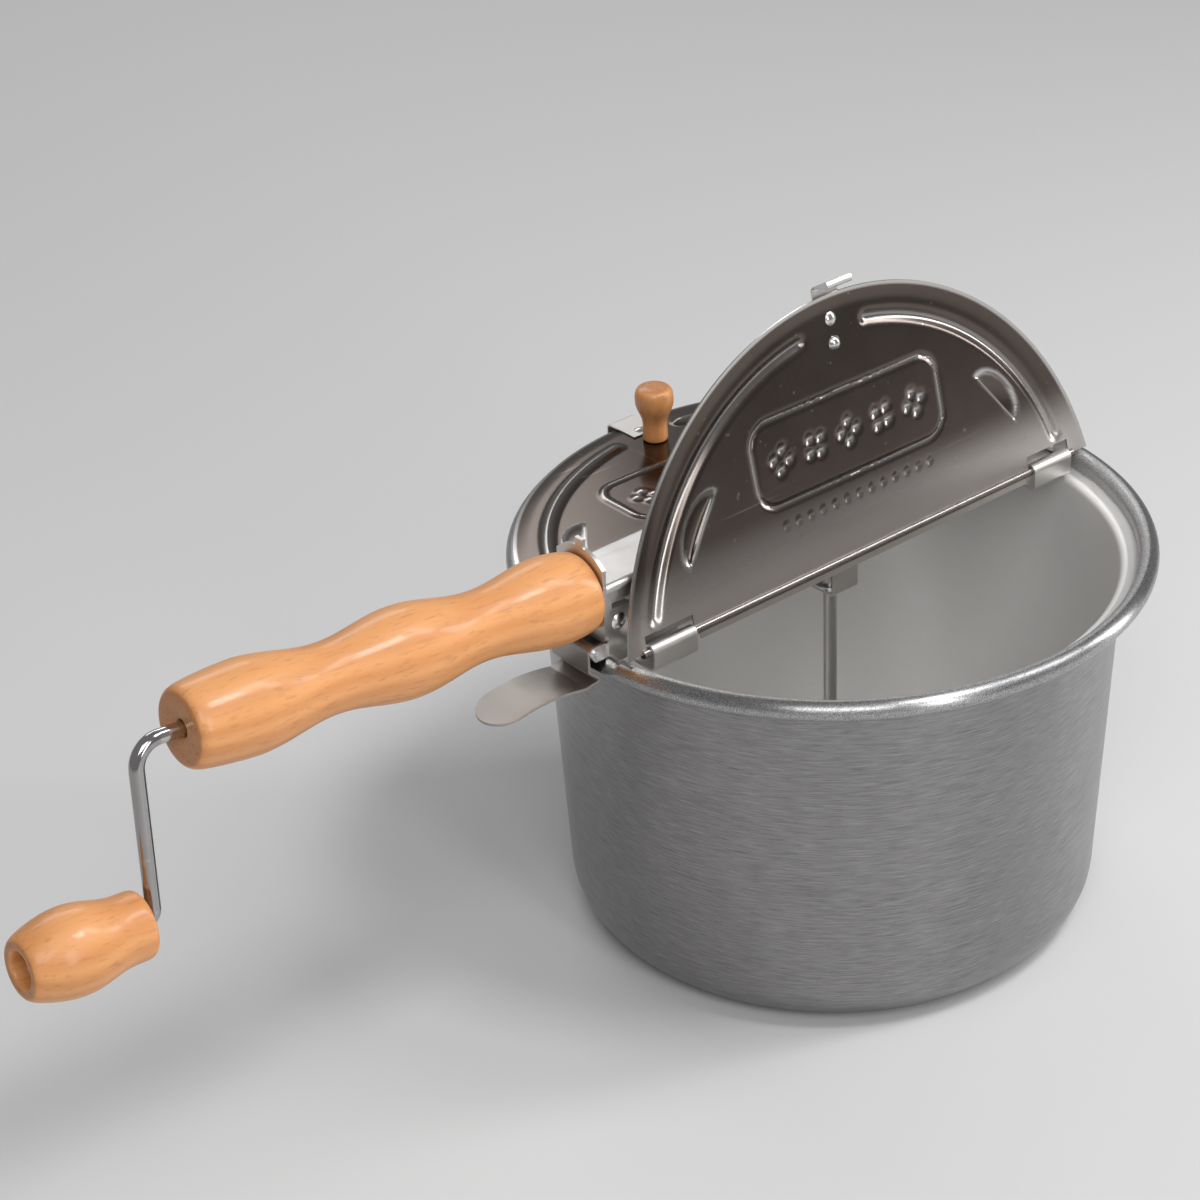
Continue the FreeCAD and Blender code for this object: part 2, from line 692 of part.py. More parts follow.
def ring(label, placement, inner, outer, floor, top):
    """A flat ring about its own upright."""
    body = new_body(label, placement)
    corners = box_corners(inner, outer, floor, top)
    revolve(body, "Ring", outline(body, "XZ_Plane", "RingProfile", corners))
    return body


def make_grip():
    """The turned wood handle round the crank's shaft, with three swellings."""
    body = new_body("handle_grip", TILTED)
    bore = "rod_radius + grip_bore_gap"
    start = "-(plate_face - 3)"
    end = "-(plate_face + grip_length)"
    corners = [(start, bore), (start, "grip_start_radius")]
    place = "-grip_first_bulge"
    crown(corners, (start, "grip_start_radius"), (place, "grip_bulge"))
    for swelling in range(2):
        waist = "-(grip_first_bulge + grip_wave * %d)" % (2 * swelling + 1)
        peak = "-(grip_first_bulge + grip_wave * %d)" % (2 * swelling + 2)
        wave(corners, (place, "grip_bulge"), (waist, "grip_waist"), False)
        wave(corners, (waist, "grip_waist"), (peak, "grip_bulge"), True)
        place = peak
    crown(corners, (place, "grip_bulge"), (end, "grip_end_radius"))
    corners.append((end, bore))
    revolve(body, "Turning", outline(body, "XZ_Plane", "GripProfile", corners), "H_Axis")
    face = "-plate_face / cos(shaft_tilt)"
    depth = "plate_top_radius * 2"
    slope = "plate_top_radius * 2 * tan(shaft_tilt)"
    beyond = "-(plate_face - plate_top_radius)"
    trim = [
        ("%s - %s" % (face, slope), depth),
        ("%s + %s" % (face, slope), "-(%s)" % depth),
        (beyond, "-(%s)" % depth),
        (beyond, depth),
    ]
    pocket(body, "PlateSeat", outline(body, "XZ_Plane", "PlateSeatSide", trim), "plate_top_radius * 4")

    def at_end(edge):
        far = edge.BoundBox.XMin < number(end) + 0.5
        return far and abs(edge.BoundBox.ZMax - number("grip_end_radius")) < 0.05

    round_edges(body, "EndRound", "grip_waist * 0.25", at_end)
    for k in (-1, 1):
        hole = body.newObject("PartDesign::SubtractiveCylinder", "ScrewBore%d" % (k + 2))
        bind(hole, Radius="grip_screw_radius", Height="grip_screw_depth + 6")
        hole.setExpression("Placement", at(x=face + " + 6", y="%d * grip_screw_place" % k,
                                           axis="Y", angle="-90"))
        body.Tip = hole
    return body


def make_handle_screws():
    """The two screws that go through the end plate into the grip."""
    body = new_body("handle_screws", TILTED)
    body.AllowCompound = True
    face = "-plate_face / cos(shaft_tilt)"
    for k in (-1, 1):
        shank = body.newObject("PartDesign::AdditiveCylinder", "Shank%d" % (k + 2))
        bind(shank, Radius="grip_screw_radius", Height="grip_screw_depth + 3")
        shank.setExpression("Placement", at(x=face + " + 3", y="%d * grip_screw_place" % k,
                                            axis="Y", angle="-90"))
        body.Tip = shank
        cap = body.newObject("PartDesign::AdditiveCylinder", "Cap%d" % (k + 2))
        bind(cap, Radius="grip_screw_radius * 1.8", Height="grip_screw_radius")
        cap.setExpression("Placement", at(x=face + " + plate_sheet + 0.4 + grip_screw_radius",
                                          y="%d * grip_screw_place" % k, axis="Y", angle="-90"))
        body.Tip = cap
    return body


def make_crank_rod():
    """The long bent rod: shaft through the handle, elbow, arm and the pin of the knob."""
    body = new_body("crank_rod", CRANKED)
    start = "bearing_place + bar_sheet * 4"
    route = draw(new_sketch(body, "XZ_Plane", "RodRoute"), [
        (start, "0"),
        ("-elbow_reach", "0", "rod_bend"),
        ("-elbow_reach", "-crank_arm", "crank_knob_bend"),
        ("-(knob_pin_reach + crank_knob_length - crank_knob_bore_depth / 2)", "-crank_arm"),
    ], closed=False)
    document.recompute()
    section = circle(body, "YZ_Plane", "RodSection", "0", "0", "rod_radius", height=start)
    sweep(body, "Rod", section, route)
    return body


def make_crank_knob():
    """The turned wood knob that spins on the crank's pin."""
    body = new_body("crank_knob", CRANKED + " * " + at(z="-crank_arm"))
    start = "-knob_pin_reach"
    end = "-(knob_pin_reach + crank_knob_length)"
    straight = "-(knob_pin_reach + crank_knob_straight)"
    swell = "-(knob_pin_reach + crank_knob_swell)"
    floor = "-(knob_pin_reach + crank_knob_length - crank_knob_bore_depth)"
    corners = [
        (start, "rod_bore"),
        (start, "crank_knob_end_radius", "2"),
        (straight, "crank_knob_end_radius"),
    ]
    wave(corners, (straight, "crank_knob_end_radius"), (swell, "crank_knob_bulge"), True)
    crown(corners, (swell, "crank_knob_bulge"), (end, "crank_knob_tip_radius"))
    corners += [(end, "crank_knob_bore"), (floor, "crank_knob_bore"), (floor, "rod_bore")]
    revolve(body, "Turning", outline(body, "XZ_Plane", "KnobProfile", corners), "H_Axis")
    return body


def make_gear(label, placement, hub_radius, hub_end):
    """A bevel gear whose cones meet at the body's origin, with its back below."""
    body = new_body(label, placement)
    tip = ("gear_pitch_radius + gear_addendum * cos(cone_angle)",
           "pitch_depth - gear_addendum * sin(cone_angle)")
    root = ("gear_pitch_radius - gear_dedendum * cos(cone_angle)",
            "pitch_depth + gear_dedendum * sin(cone_angle)")
    blank = [
        ("rod_radius", "-inner_share * (%s)" % root[1]),
        ("inner_share * (%s)" % root[0], "-inner_share * (%s)" % root[1]),
        ("inner_share * (%s)" % tip[0], "-inner_share * (%s)" % tip[1]),
        (tip[0], "-(%s)" % tip[1]),
        (root[0], "-(%s)" % root[1]),
        (root[0], "-gear_back_depth"),
        (hub_radius, "-gear_back_depth"),
        (hub_radius, "-(%s)" % hub_end),
        ("rod_radius", "-(%s)" % hub_end),
    ]
    revolve(body, "Blank", outline(body, "XZ_Plane", "BlankProfile", blank))
    half_gap = "(gear_pitch_radius * tooth_share * pi / 360 + gear_backlash / 4)"
    flank = "cos(cone_angle) * tan(gear_flank_angle)"
    deep = "pitch_depth * tan(root_angle)"
    far = "pitch_depth * tan(tip_angle + 6)"
    deep_half = "(%s - (gear_pitch_radius - %s) * %s)" % (half_gap, deep, flank)
    far_half = "(%s + (%s - gear_pitch_radius) * %s)" % (half_gap, far, flank)
    sections = []
    for name, share in (("GapInside", "inner_share * 0.8"), ("GapOutside", "1.2")):
        corners = [
            ("%s * %s" % (share, deep), "-(%s) * %s" % (share, deep_half)),
            ("%s * %s" % (share, far), "-(%s) * %s" % (share, far_half)),
            ("%s * %s" % (share, far), "%s * %s" % (share, far_half)),
            ("%s * %s" % (share, deep), "%s * %s" % (share, deep_half)),
        ]
        sections.append(outline(body, "XY_Plane", name, corners, height="-pitch_depth * %s" % share))
    gap = body.newObject("PartDesign::SubtractiveLoft", "ToothGap")
    gap.Profile = sections[0]
    gap.Sections = [sections[1]]
    gap.Ruled = True
    body.Tip = gap
    gaps = body.newObject("PartDesign::PolarPattern", "ToothGaps")
    gaps.Originals = [gap]
    gaps.Axis = (origin_item(body, "Z_Axis"), [""])
    gaps.Angle = 360
    bind(gaps, Occurrences="gear_teeth")
    body.Tip = gaps
    return body


def make_stir_rod():
    """The upright rod of the stirrer, with cross holes for its two wires."""
    body = new_body("stir_rod")
    section = circle(body, "XY_Plane", "RodSection", "0", "0", "rod_radius", height="pan_wall + 1")
    pad(body, "Rod", section, "shaft_height - rod_radius - stir_top_gap - pan_wall - 1", symmetric=False)
    for name, role, height in (("Lower", "YZ_Plane", "lower_wire_height"),
                               ("Upper", "XZ_Plane", "upper_wire_height")):
        hole = circle(body, role, name + "Hole", "0", height, "wire_radius")
        pocket(body, name + "Cross", hole, "rod_radius * 3")
    return body


def make_stir_wires():
    """The S-shaped wire near the pan's floor and the shorter one that crosses it."""
    lower = new_body("stir_wire_lower", at(z="lower_wire_height"))
    route = draw(new_sketch(lower, "XY_Plane", "HalfRoute"), [
        ("0", "0"),
        ("wire_reach * 0.5", "0", "wire_reach * 0.35"),
        ("wire_reach", "wire_reach * 0.35"),
    ], closed=False)
    upper = new_body("stir_wire_upper", at(z="upper_wire_height"))
    upper_route = draw(new_sketch(upper, "YZ_Plane", "HalfRoute"), [
        ("0", "0"),
        ("wire_reach * 0.5", "0", "wire_spacing"),
        ("wire_reach * 0.6", "-wire_spacing"),
    ], closed=False)
    document.recompute()
    for body, path, role in ((lower, route, "YZ_Plane"), (upper, upper_route, "XZ_Plane")):
        half = sweep(body, "HalfWire", circle(body, role, "WireSection", "0", "0", "wire_radius"), path)
        whole = body.newObject("PartDesign::PolarPattern", "WholeWire")
        whole.Originals = [half]
        whole.Axis = (origin_item(body, "Z_Axis"), [""])
        whole.Angle = 360
        whole.Occurrences = 2
        body.Tip = whole
    return lower, upper


def make_gear_bracket():
    """The strap bracket under the channel that carries the foot of the stirrer's shaft."""
    body = new_body("gear_bracket")
    knee = "shaft_height - gear_back_depth - bracket_sheet"
    ankle = knee + " - bracket_half_width"
    top = "bar_top - bar_bend * 2"
    side = [
        ("bracket_outer", top),
        ("bracket_outer - bracket_sheet", top),
        ("bracket_outer - bracket_sheet", knee),
        ("bracket_waist - bracket_sheet", ankle),
        ("bracket_waist - bracket_sheet", "bracket_top", "bracket_sheet"),
    ]
    outside = [
        ("bracket_waist", "bracket_floor", "bracket_sheet * 2"),
        ("bracket_waist", ankle),
        ("bracket_outer", knee),
    ]
    left = [("-(%s)" % corner[0],) + corner[1:] for corner in side[::-1]]
    left_outside = [("-(%s)" % corner[0],) + corner[1:] for corner in outside[::-1]]
    corners = side + left + left_outside + outside
    strap = outline(body, "YZ_Plane", "StrapSide", corners)
    pad(body, "Strap", strap, "bracket_half_width * 2")
    bore = circle(body, "XY_Plane", "StirBore", "0", "0", "rod_bore", height="bracket_floor")
    pocket(body, "StirBoreCut", bore, "bracket_sheet * 4")
    rivet = circle(body, "XZ_Plane", "RivetHole", "0", "foot_floor + bracket_rivet_height",
                   "bracket_rivet_radius")
    pocket(body, "RivetHoles", rivet, "bar_half_width * 3")
    return body


def make_rivets(label, x, z, radius, inner):
    """A pair of round-headed rivets through the channel's walls."""
    body = new_body(label, at(x=x, z=z))
    body.AllowCompound = True
    wide = "(%s * 1.8)" % radius
    tall = "(%s * 0.6)" % radius
    dome = "((%s ^ 2 + %s ^ 2) / (2 * %s))" % (wide, tall, tall)
    corners = [
        ("(%s) - %s * 0.5" % (inner, tall), "0"),
        ("bar_half_width + %s" % tall, "0"),
        ("bar_half_width", wide, dome, "left"),
        ("bar_half_width", radius),
        (inner, radius),
        (inner, "%s * 1.5" % radius),
        ("(%s) - %s * 0.5" % (inner, tall), "%s * 1.5" % radius),
    ]
    one = revolve(body, "Rivet", outline(body, "YZ_Plane", "RivetProfile", corners), "H_Axis")
    both = body.newObject("PartDesign::Mirrored", "Rivets")
    both.Originals = [one]
    both.MirrorPlane = (origin_item(body, "XZ_Plane"), [""])
    body.Tip = both
    return body


def strip(body, role, name, route_role, corners, start, thick, half_width):
    """Sweep a flat strip's section along a bent line that starts square to a plane."""
    route = draw(new_sketch(body, route_role, name + "Route"), corners, closed=False)
    document.recompute()
    along, across = start
    section = outline(body, role, name + "Section",
                      box_corners("-" + half_width, half_width, "%s - %s / 2" % (across, thick),
                                  "%s + %s / 2" % (across, thick)), height=along)
    return sweep(body, name, section, route)


def make_latch():
    """The spring steel latch: rolled round its pin, hooked under the bead, with a tongue."""
    body = new_body("rim_latch")
    centre = "(latch_pin_radius + running_gap + latch_sheet / 2)"
    leg = "-latch_pin_reach - " + centre
    knee = "latch_pin_height - latch_leg"
    catch = "bead_floor - latch_gap - latch_sheet / 2"
    strip(body, "YZ_Plane", "Latch", "XZ_Plane", [
        ("-latch_pin_reach", "latch_pin_height - " + centre),
        ("-latch_pin_reach + " + centre, "latch_pin_height", centre, "left"),
        ("-latch_pin_reach", "latch_pin_height + " + centre, centre, "left"),
        (leg, "latch_pin_height", centre, "left"),
        (leg, knee, "latch_sheet"),
        ("-rim_radius + latch_bite", catch, "latch_sheet"),
        ("-rim_radius - latch_reach * 0.13", catch + " - latch_sheet", "latch_sheet * 4"),
        ("-rim_radius - latch_reach * 0.5", catch + " + latch_sheet * 2", "latch_reach * 1.5"),
        ("-rim_radius - latch_reach", catch + " - latch_sheet * 2"),
    ], ("-latch_pin_reach", "latch_pin_height - " + centre), "latch_sheet", "latch_half_width")
    tip = "-rim_radius - latch_reach"
    bend = tip + " + latch_half_width"
    waste = [
        (tip + " - 1", "-latch_half_width - 1"),
        (bend, "-latch_half_width - 1"),
        (bend, "-latch_half_width"),
        (tip, "0", "latch_half_width", "right"),
        (bend, "latch_half_width", "latch_half_width", "right"),
        (bend, "latch_half_width + 1"),
        (tip + " - 1", "latch_half_width + 1"),
    ]
    pocket(body, "RoundTip", outline(body, "XY_Plane", "TipPlan", waste, height="bead_floor"),
           "latch_reach")
    return body


def make_vent(body, side):
    """A lanced vent: a hood like a quarter of an egg, open towards the lid's middle."""
    name = "Left" if side < 0 else "Right"
    turned = at(axis="Z", angle="%d * vent_angle" % -side)
    for kind, width, height, spot, floor in (
        ("Additive", "vent_width", "vent_height", "vent_place", "lid_sheet / 2"),
        ("Subtractive", "vent_width - lid_sheet + vent_slit", "vent_height",
         "vent_place - vent_slit", "-lid_sheet / 2"),
    ):
        hood = body.newObject("PartDesign::%sEllipsoid" % kind, name + kind + "Hood")
        shorter = "lid_sheet" if kind == "Subtractive" else "0"
        bind(hood, Radius1=height, Radius2="vent_length / 2 - " + shorter, Radius3=width)
        hood.Angle1 = 0
        hood.Angle2 = 90
        hood.Angle3 = 180
        hood.setExpression("Placement", turned + " * " + at(y=spot, z=floor))
        body.Tip = hood


def make_lid(label, placement):
    """A stamped half lid with its rolled hinge edge, tail strip, arc beads and holes."""
    body = new_body(label, placement)
    half = "lid_sheet / 2"
    profile = [
        ("0", "-" + half),
        ("lid_flat_radius", "-" + half, "lid_sheet * 4"),
        ("lid_radius", "-%s - lid_edge_drop" % half),
        ("lid_radius", "%s - lid_edge_drop" % half),
        ("lid_flat_radius", half, "lid_sheet * 4"),
        ("0", half),
    ]
    revolve(body, "Disc", outline(body, "XZ_Plane", "DiscProfile", profile))
    crest = "(%s + bead_arc_height)" % half
    dome = "((bead_arc_width ^ 2 / 4 + bead_arc_height ^ 2) / (2 * bead_arc_height))"
    span = "bead_arc_end - bead_arc_start"
    for side in (-1, 1):
        name = "Left" if side < 0 else "Right"
        turn = "%d * (bead_arc_start + bead_arc_end) / 2 + 90" % side
        rounded = [
            ("bead_arc_radius - bead_arc_width / 2", half, dome, "left"),
            ("bead_arc_radius + bead_arc_width / 2", half),
            ("bead_arc_radius", crest, dome, "left"),
        ]
        rounded = outline(body, "XZ_Plane", name + "BeadProfile", rounded, turn=turn)
        bump = revolve(body, name + "Bead", rounded, angle=span)
        bump.Midplane = True
        hollow_half = "(bead_arc_width / 2 - lid_sheet)"
        hollow_dome = "((%s ^ 2 + bead_arc_height ^ 2) / (2 * bead_arc_height))" % hollow_half
        hollow = [
            ("bead_arc_radius - " + hollow_half, "-" + half, hollow_dome, "left"),
            ("bead_arc_radius + " + hollow_half, "-" + half),
            ("bead_arc_radius", crest + " - lid_sheet", hollow_dome, "left"),
        ]
        hollow = outline(body, "XZ_Plane", name + "HollowProfile", hollow, turn=turn)
        groove = revolve(body, name + "Hollow", hollow, angle=span + " - 1", kind="Groove")
        groove.Midplane = True
    cut = box_corners("-lid_radius - 5", "lid_radius + 5", "-lid_radius - 5", "hinge_offset")
    pocket(body, "StraightEdge", outline(body, "XY_Plane", "StraightEdgePlan", cut), "lid_radius")
    inner = "knuckle_place - knuckle_width / 2 - slot_margin"
    outer = "knuckle_place + knuckle_width / 2 + slot_margin"
    for side in (-1, 1):
        name = "LeftSlot" if side < 0 else "RightSlot"
        slot = box_corners("%d * (%s)" % (side, inner), "%d * (%s)" % (side, outer),
                           "hinge_offset + hem_radius * 0.8",
                           "hinge_offset + knuckle_outer + slot_margin * 2")
        if side < 0:
            slot = slot[::-1]
        pocket(body, name, outline(body, "XY_Plane", name + "Plan", slot), "lid_sheet * 1.2")
    hem = circle(body, "YZ_Plane", "HemSection", "hinge_offset", "0", "hem_radius")
    pad(body, "Hem", hem, "(%s + slot_margin * 2) * 2" % outer)
    tail = box_corners("-(%s) + slot_margin" % inner, "(%s) - slot_margin" % inner,
                       "hinge_offset - lid_tail", "hinge_offset + hem_radius")
    pad(body, "Tail", outline(body, "XY_Plane", "TailPlan", tail), "lid_sheet")
    for side in (-1, 1):
        make_vent(body, side)
    for name, place, radius in (("KnobHole", "knob_place", "lid_screw_radius + 0.1"),
                                ("ClipHole", "clip_place", "clip_rivet_radius")):
        hole = circle(body, "XY_Plane", name + "Plan", "0", "hinge_offset + " + place, radius)
        pocket(body, name, hole, "lid_sheet * 3")
    return body


def make_lid_knob(label, placement):
    """The turned wood knob of a lid, bored for its screw."""
    body = new_body(label, placement + " * " + at(y="hinge_offset + knob_place", z="lid_sheet / 2"))
    profile = [
        ("lid_screw_radius", "0"),
        ("knob_foot_radius", "0", "1"),
        ("knob_neck_radius", "knob_neck_height", "knob_head_radius * 1.4"),
        ("knob_head_radius", "knob_height * 0.64", "knob_head_radius * 1.2"),
        ("knob_head_radius", "knob_height", "knob_head_radius * 0.4"),
        ("0", "knob_height"),
        ("0", "lid_screw_depth"),
        ("lid_screw_radius", "lid_screw_depth"),
    ]
    revolve(body, "Turning", outline(body, "XZ_Plane", "KnobProfile", profile))
    return body


def make_lid_screw(label, placement):
    """The round-headed screw that holds a lid's knob from below."""
    body = new_body(label, placement + " * " + at(y="hinge_offset + knob_place"))
    under = "-lid_sheet / 2"
    tall = "(lid_screw_head * 0.6)"
    dome = "((lid_screw_head ^ 2 + %s ^ 2) / (2 * %s))" % (tall, tall)
    profile = [
        ("0", "%s - %s" % (under, tall)),
        ("lid_screw_head", under, dome, "left"),
        ("lid_screw_radius", under),
        ("lid_screw_radius", "lid_sheet / 2 + lid_screw_depth - 1"),
        ("0", "lid_sheet / 2 + lid_screw_depth - 1"),
    ]
    revolve(body, "Screw", outline(body, "XZ_Plane", "ScrewProfile", profile))
    return body


def make_lid_clip(label, placement):
    """The bent strip that holds a closed lid at the rim."""
    body = new_body(label, placement)
    layer = "lid_sheet / 2 + clip_sheet / 2"
    start = "hinge_offset + knob_place + knob_foot_radius + lid_sheet"
    reach = "clip_reach + clip_sheet / 2"
    strip(body, "XZ_Plane", "Clip", "YZ_Plane", [
        (start, layer),
        (reach, layer, "clip_sheet * 3"),
        (reach, "-clip_drop", "clip_sheet * 1.5"),
        (reach + " + clip_sheet * 4", "-clip_drop + clip_sheet * 2"),
    ], ("-(%s)" % start, layer), "clip_sheet", "clip_half_width")
    hole = circle(body, "XY_Plane", "RivetHole", "0", "hinge_offset + clip_place", "clip_rivet_radius")
    pocket(body, "RivetHoleCut", hole, "clip_sheet * 6")
    return body


def make_clip_rivet(label, placement):
    """The rivet that holds a clip on its lid."""
    body = new_body(label, placement + " * " + at(y="hinge_offset + clip_place"))
    wide = "(clip_rivet_radius * 1.8)"
    tall = "(clip_rivet_radius * 0.6)"
    dome = "((%s ^ 2 + %s ^ 2) / (2 * %s))" % (wide, tall, tall)
    profile = [
        ("0", "-lid_sheet / 2 - " + tall),
        (wide, "-lid_sheet / 2", dome, "left"),
        ("clip_rivet_radius", "-lid_sheet / 2"),
        ("clip_rivet_radius", "lid_sheet / 2 + clip_sheet"),
        (wide, "lid_sheet / 2 + clip_sheet"),
        ("0", "lid_sheet / 2 + clip_sheet + " + tall, dome, "left"),
    ]
    revolve(body, "Rivet", outline(body, "XZ_Plane", "RivetProfile", profile))
    return body


def make_latch_pin():
    """The pin that the latch turns on."""
    body = new_body("latch_pin", at(x="-latch_pin_reach", z="latch_pin_height"))
    section = circle(body, "XZ_Plane", "PinSection", "0", "0", "latch_pin_radius")
    pad(body, "Pin", section, "(latch_half_width + seat_gap + lug_sheet * 1.6) * 2")
    return body


bodies = make_pan()
bodies += [make_crossbar(), make_handle_plate(), make_grip(), make_handle_screws()]
bodies += [make_gear_bracket(), make_latch_pin(), make_latch()]
bodies.append(make_rivets("plate_rivets", "-bar_reach + ear_length / 2", "foot_top + ear_place",
                          "plate_rivet_radius", "bar_inner - plate_sheet"))
bodies.append(make_rivets("bracket_rivets", "0", "foot_floor + bracket_rivet_height",
                          "bracket_rivet_radius", "bar_inner - bracket_sheet"))
bodies.append(ring("thrust_washer", at(z="bracket_top"), "rod_bore + running_gap", "washer_radius",
                   "0", "washer_sheet"))
bodies += [make_crank_rod(), make_crank_knob()]
shaft_end = TILTED + " * " + at(x="bearing_place + bar_sheet", axis="Y", angle="90")
bodies.append(ring("rod_end_clip", shaft_end, "rod_radius", "end_clip_radius", "bar_sheet",
                   "bar_sheet * 2"))
pin_end = (CRANKED + " * " + at(x="-(knob_pin_reach + crank_knob_length - crank_knob_bore_depth)",
                                z="-crank_arm", axis="Y", angle="-90"))
bodies.append(ring("knob_retainer", pin_end, "rod_radius", "crank_knob_bore - 1",
                   "seat_gap", "seat_gap + retainer_sheet"))
crank_gear_place = (at(z="shaft_height", axis="Y", angle="shaft_tilt - 90") + " * "
                    + at(axis="Z", angle="180 + tooth_share"))
bodies.append(make_gear("crank_gear", crank_gear_place, "crank_hub_radius",
                        "bearing_place - bar_sheet * 2"))
bodies.append(make_gear("stir_gear", at(z="shaft_height"), "stir_hub_radius",
                        "shaft_height - washer_top - running_gap"))
bodies.append(make_stir_rod())
bodies += make_stir_wires()
for prefix, placement in (("front_", FRONT_LID), ("rear_", REAR_LID)):
    bodies.append(make_lid(prefix + "lid", placement))
    bodies.append(make_lid_knob(prefix + "lid_knob", placement))
    bodies.append(make_lid_screw(prefix + "knob_screw", placement))
    bodies.append(make_lid_clip(prefix + "lid_clip", placement))
    bodies.append(make_clip_rivet(prefix + "clip_rivet", placement))
document.recompute()

troubles = []
for item in document.Objects:
    if "Invalid" in item.State or "Error" in item.State:
        troubles.append("%s of %s has failed" % (item.Name, getattr(item, "Label", "")))
for body in bodies:
    if body.Shape.isNull() or not body.Shape.isValid():
        troubles.append("%s has no valid shape" % body.Label)
    else:
        print(body.Label, "solids", len(body.Shape.Solids), "volume", round(body.Shape.Volume, 1))
if troubles:
    raise RuntimeError("; ".join(troubles))
os.makedirs("parts", exist_ok=True)
for body in bodies:
    body.Shape.exportStep("parts/%s.step" % body.Label)
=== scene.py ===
# %% [markdown]
# A stovetop popcorn popper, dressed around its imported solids. The solids give every place
# and every turn. This notebook gives them finishes, and makes the turned wood, the spun
# pan and the pressed lids again with the fine form that a maker would see. The turner's
# templates, the pan's section and the lid's die are drawn in millimetres, and everything
# else is in metres.

# %% Load the frame
import json
import math

import bmesh
import bpy
from mathutils import Euler, Matrix, Vector


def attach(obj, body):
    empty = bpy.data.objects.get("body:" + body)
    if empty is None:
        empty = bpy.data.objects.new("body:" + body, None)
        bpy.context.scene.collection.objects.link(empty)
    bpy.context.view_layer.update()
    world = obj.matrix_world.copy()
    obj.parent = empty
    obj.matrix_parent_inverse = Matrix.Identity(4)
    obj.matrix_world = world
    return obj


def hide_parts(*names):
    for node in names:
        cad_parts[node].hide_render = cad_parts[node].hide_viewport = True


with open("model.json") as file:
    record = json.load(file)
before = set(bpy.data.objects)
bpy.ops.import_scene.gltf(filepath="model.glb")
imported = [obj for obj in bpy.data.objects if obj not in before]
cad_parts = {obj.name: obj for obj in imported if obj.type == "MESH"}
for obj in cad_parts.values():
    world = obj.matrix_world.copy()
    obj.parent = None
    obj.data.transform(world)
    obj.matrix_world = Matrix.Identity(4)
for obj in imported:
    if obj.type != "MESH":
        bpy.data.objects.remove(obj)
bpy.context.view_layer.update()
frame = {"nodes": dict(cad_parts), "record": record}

MM = 1000                # millimetres in a metre

# %% [markdown]
# The camera stands where the photograph was taken: about 1.1 m away, looking down by 30.5
# degrees from the handle's side. A camera could be aimed by eye, but its turn and distance
# were worked out from the pan's ellipses, so they are written here as three turns and one
# distance to a point on the stirrer's axis.

# %% Camera
PHOTO_SIDE = 1200
FOCAL_PIXELS = 3008.87
HEADING, LOOK_DOWN, ROLL = 38.41, 30.5, 2.617
AIM, AIM_PIXEL, AIM_DISTANCE = Vector((0, 0, 0.150)), (830.09, 540.76), 1.1205

turn = (Matrix.Rotation(math.radians(-HEADING), 4, "Z")
        @ Matrix.Rotation(math.radians(90 - LOOK_DOWN), 4, "X")
        @ Matrix.Rotation(math.radians(-ROLL), 4, "Z"))
across = (AIM_PIXEL[0] - PHOTO_SIDE / 2) / FOCAL_PIXELS
down = (AIM_PIXEL[1] - PHOTO_SIDE / 2) / FOCAL_PIXELS
sight = (turn.to_3x3() @ Vector((across, -down, -1))).normalized()
camera_data = bpy.data.cameras.new("camera")
camera_data.sensor_width = 36
camera_data.lens = 36 * FOCAL_PIXELS / PHOTO_SIDE
camera = bpy.data.objects.new("camera", camera_data)
camera.matrix_world = Matrix.Translation(AIM - sight * AIM_DISTANCE) @ turn
bpy.context.scene.collection.objects.link(camera)
bpy.context.scene.camera = camera
bpy.context.scene.view_settings.view_transform = "Standard"
print("camera at", [round(v, 3) for v in camera.matrix_world.translation])

# %% [markdown]
# The light is a photographer's table: a big soft lamp high on the left, one on the right and
# one behind, two upright strips that draw bright bands on the pan, a small lamp over the
# open half, and an even, pale room.

# %% Lamps and room
def soft_lamp(name, place, aim, wide, watts):
    """A soft rectangular lamp that looks at a point."""
    lamp = bpy.data.lights.new(name, "AREA")
    lamp.shape = "RECTANGLE"
    lamp.size, lamp.size_y = wide
    lamp.energy = watts
    item = bpy.data.objects.new(name, lamp)
    way = Vector(aim) - Vector(place)
    item.matrix_world = (Matrix.Translation(place)
                         @ way.to_track_quat("-Z", "Y").to_matrix().to_4x4())
    bpy.context.scene.collection.objects.link(item)


POPPER_MIDDLE = (0, 0, 0.1)
soft_lamp("key_lamp", (-0.9, -1.1, 1.5), POPPER_MIDDLE, (0.9, 0.9), 11)
soft_lamp("side_lamp", (1.0, -0.7, 1.7), (-0.04, -0.02, 0.08), (0.35, 0.9), 8)
soft_lamp("back_lamp", (0.5, 1.6, 1.3), POPPER_MIDDLE, (1.2, 0.5), 6)
soft_lamp("front_lamp", (-0.2, -1.7, 0.8), POPPER_MIDDLE, (0.30, 1.1), 6)
soft_lamp("low_strip", (1.1, -0.6, 0.55), (0, 0, 0.08), (0.20, 0.8), 5)
soft_lamp("top_lamp", (0.15, -0.50, 1.2), (0.0, -0.02, 0.05), (0.25, 0.25), 4.5)

room = bpy.data.worlds.new("room")
room.use_nodes = True
room.node_tree.nodes["Background"].inputs["Color"].default_value = (0.80, 0.80, 0.81, 1)
room.node_tree.nodes["Background"].inputs["Strength"].default_value = 0.34
bpy.context.scene.world = room
print("lamps:", len(bpy.data.lights))

# %% [markdown]
# Every finish is a small net of nodes. One helper adds a node, sets its plain values and
# joins its inputs, so a finish reads as a list of steps.

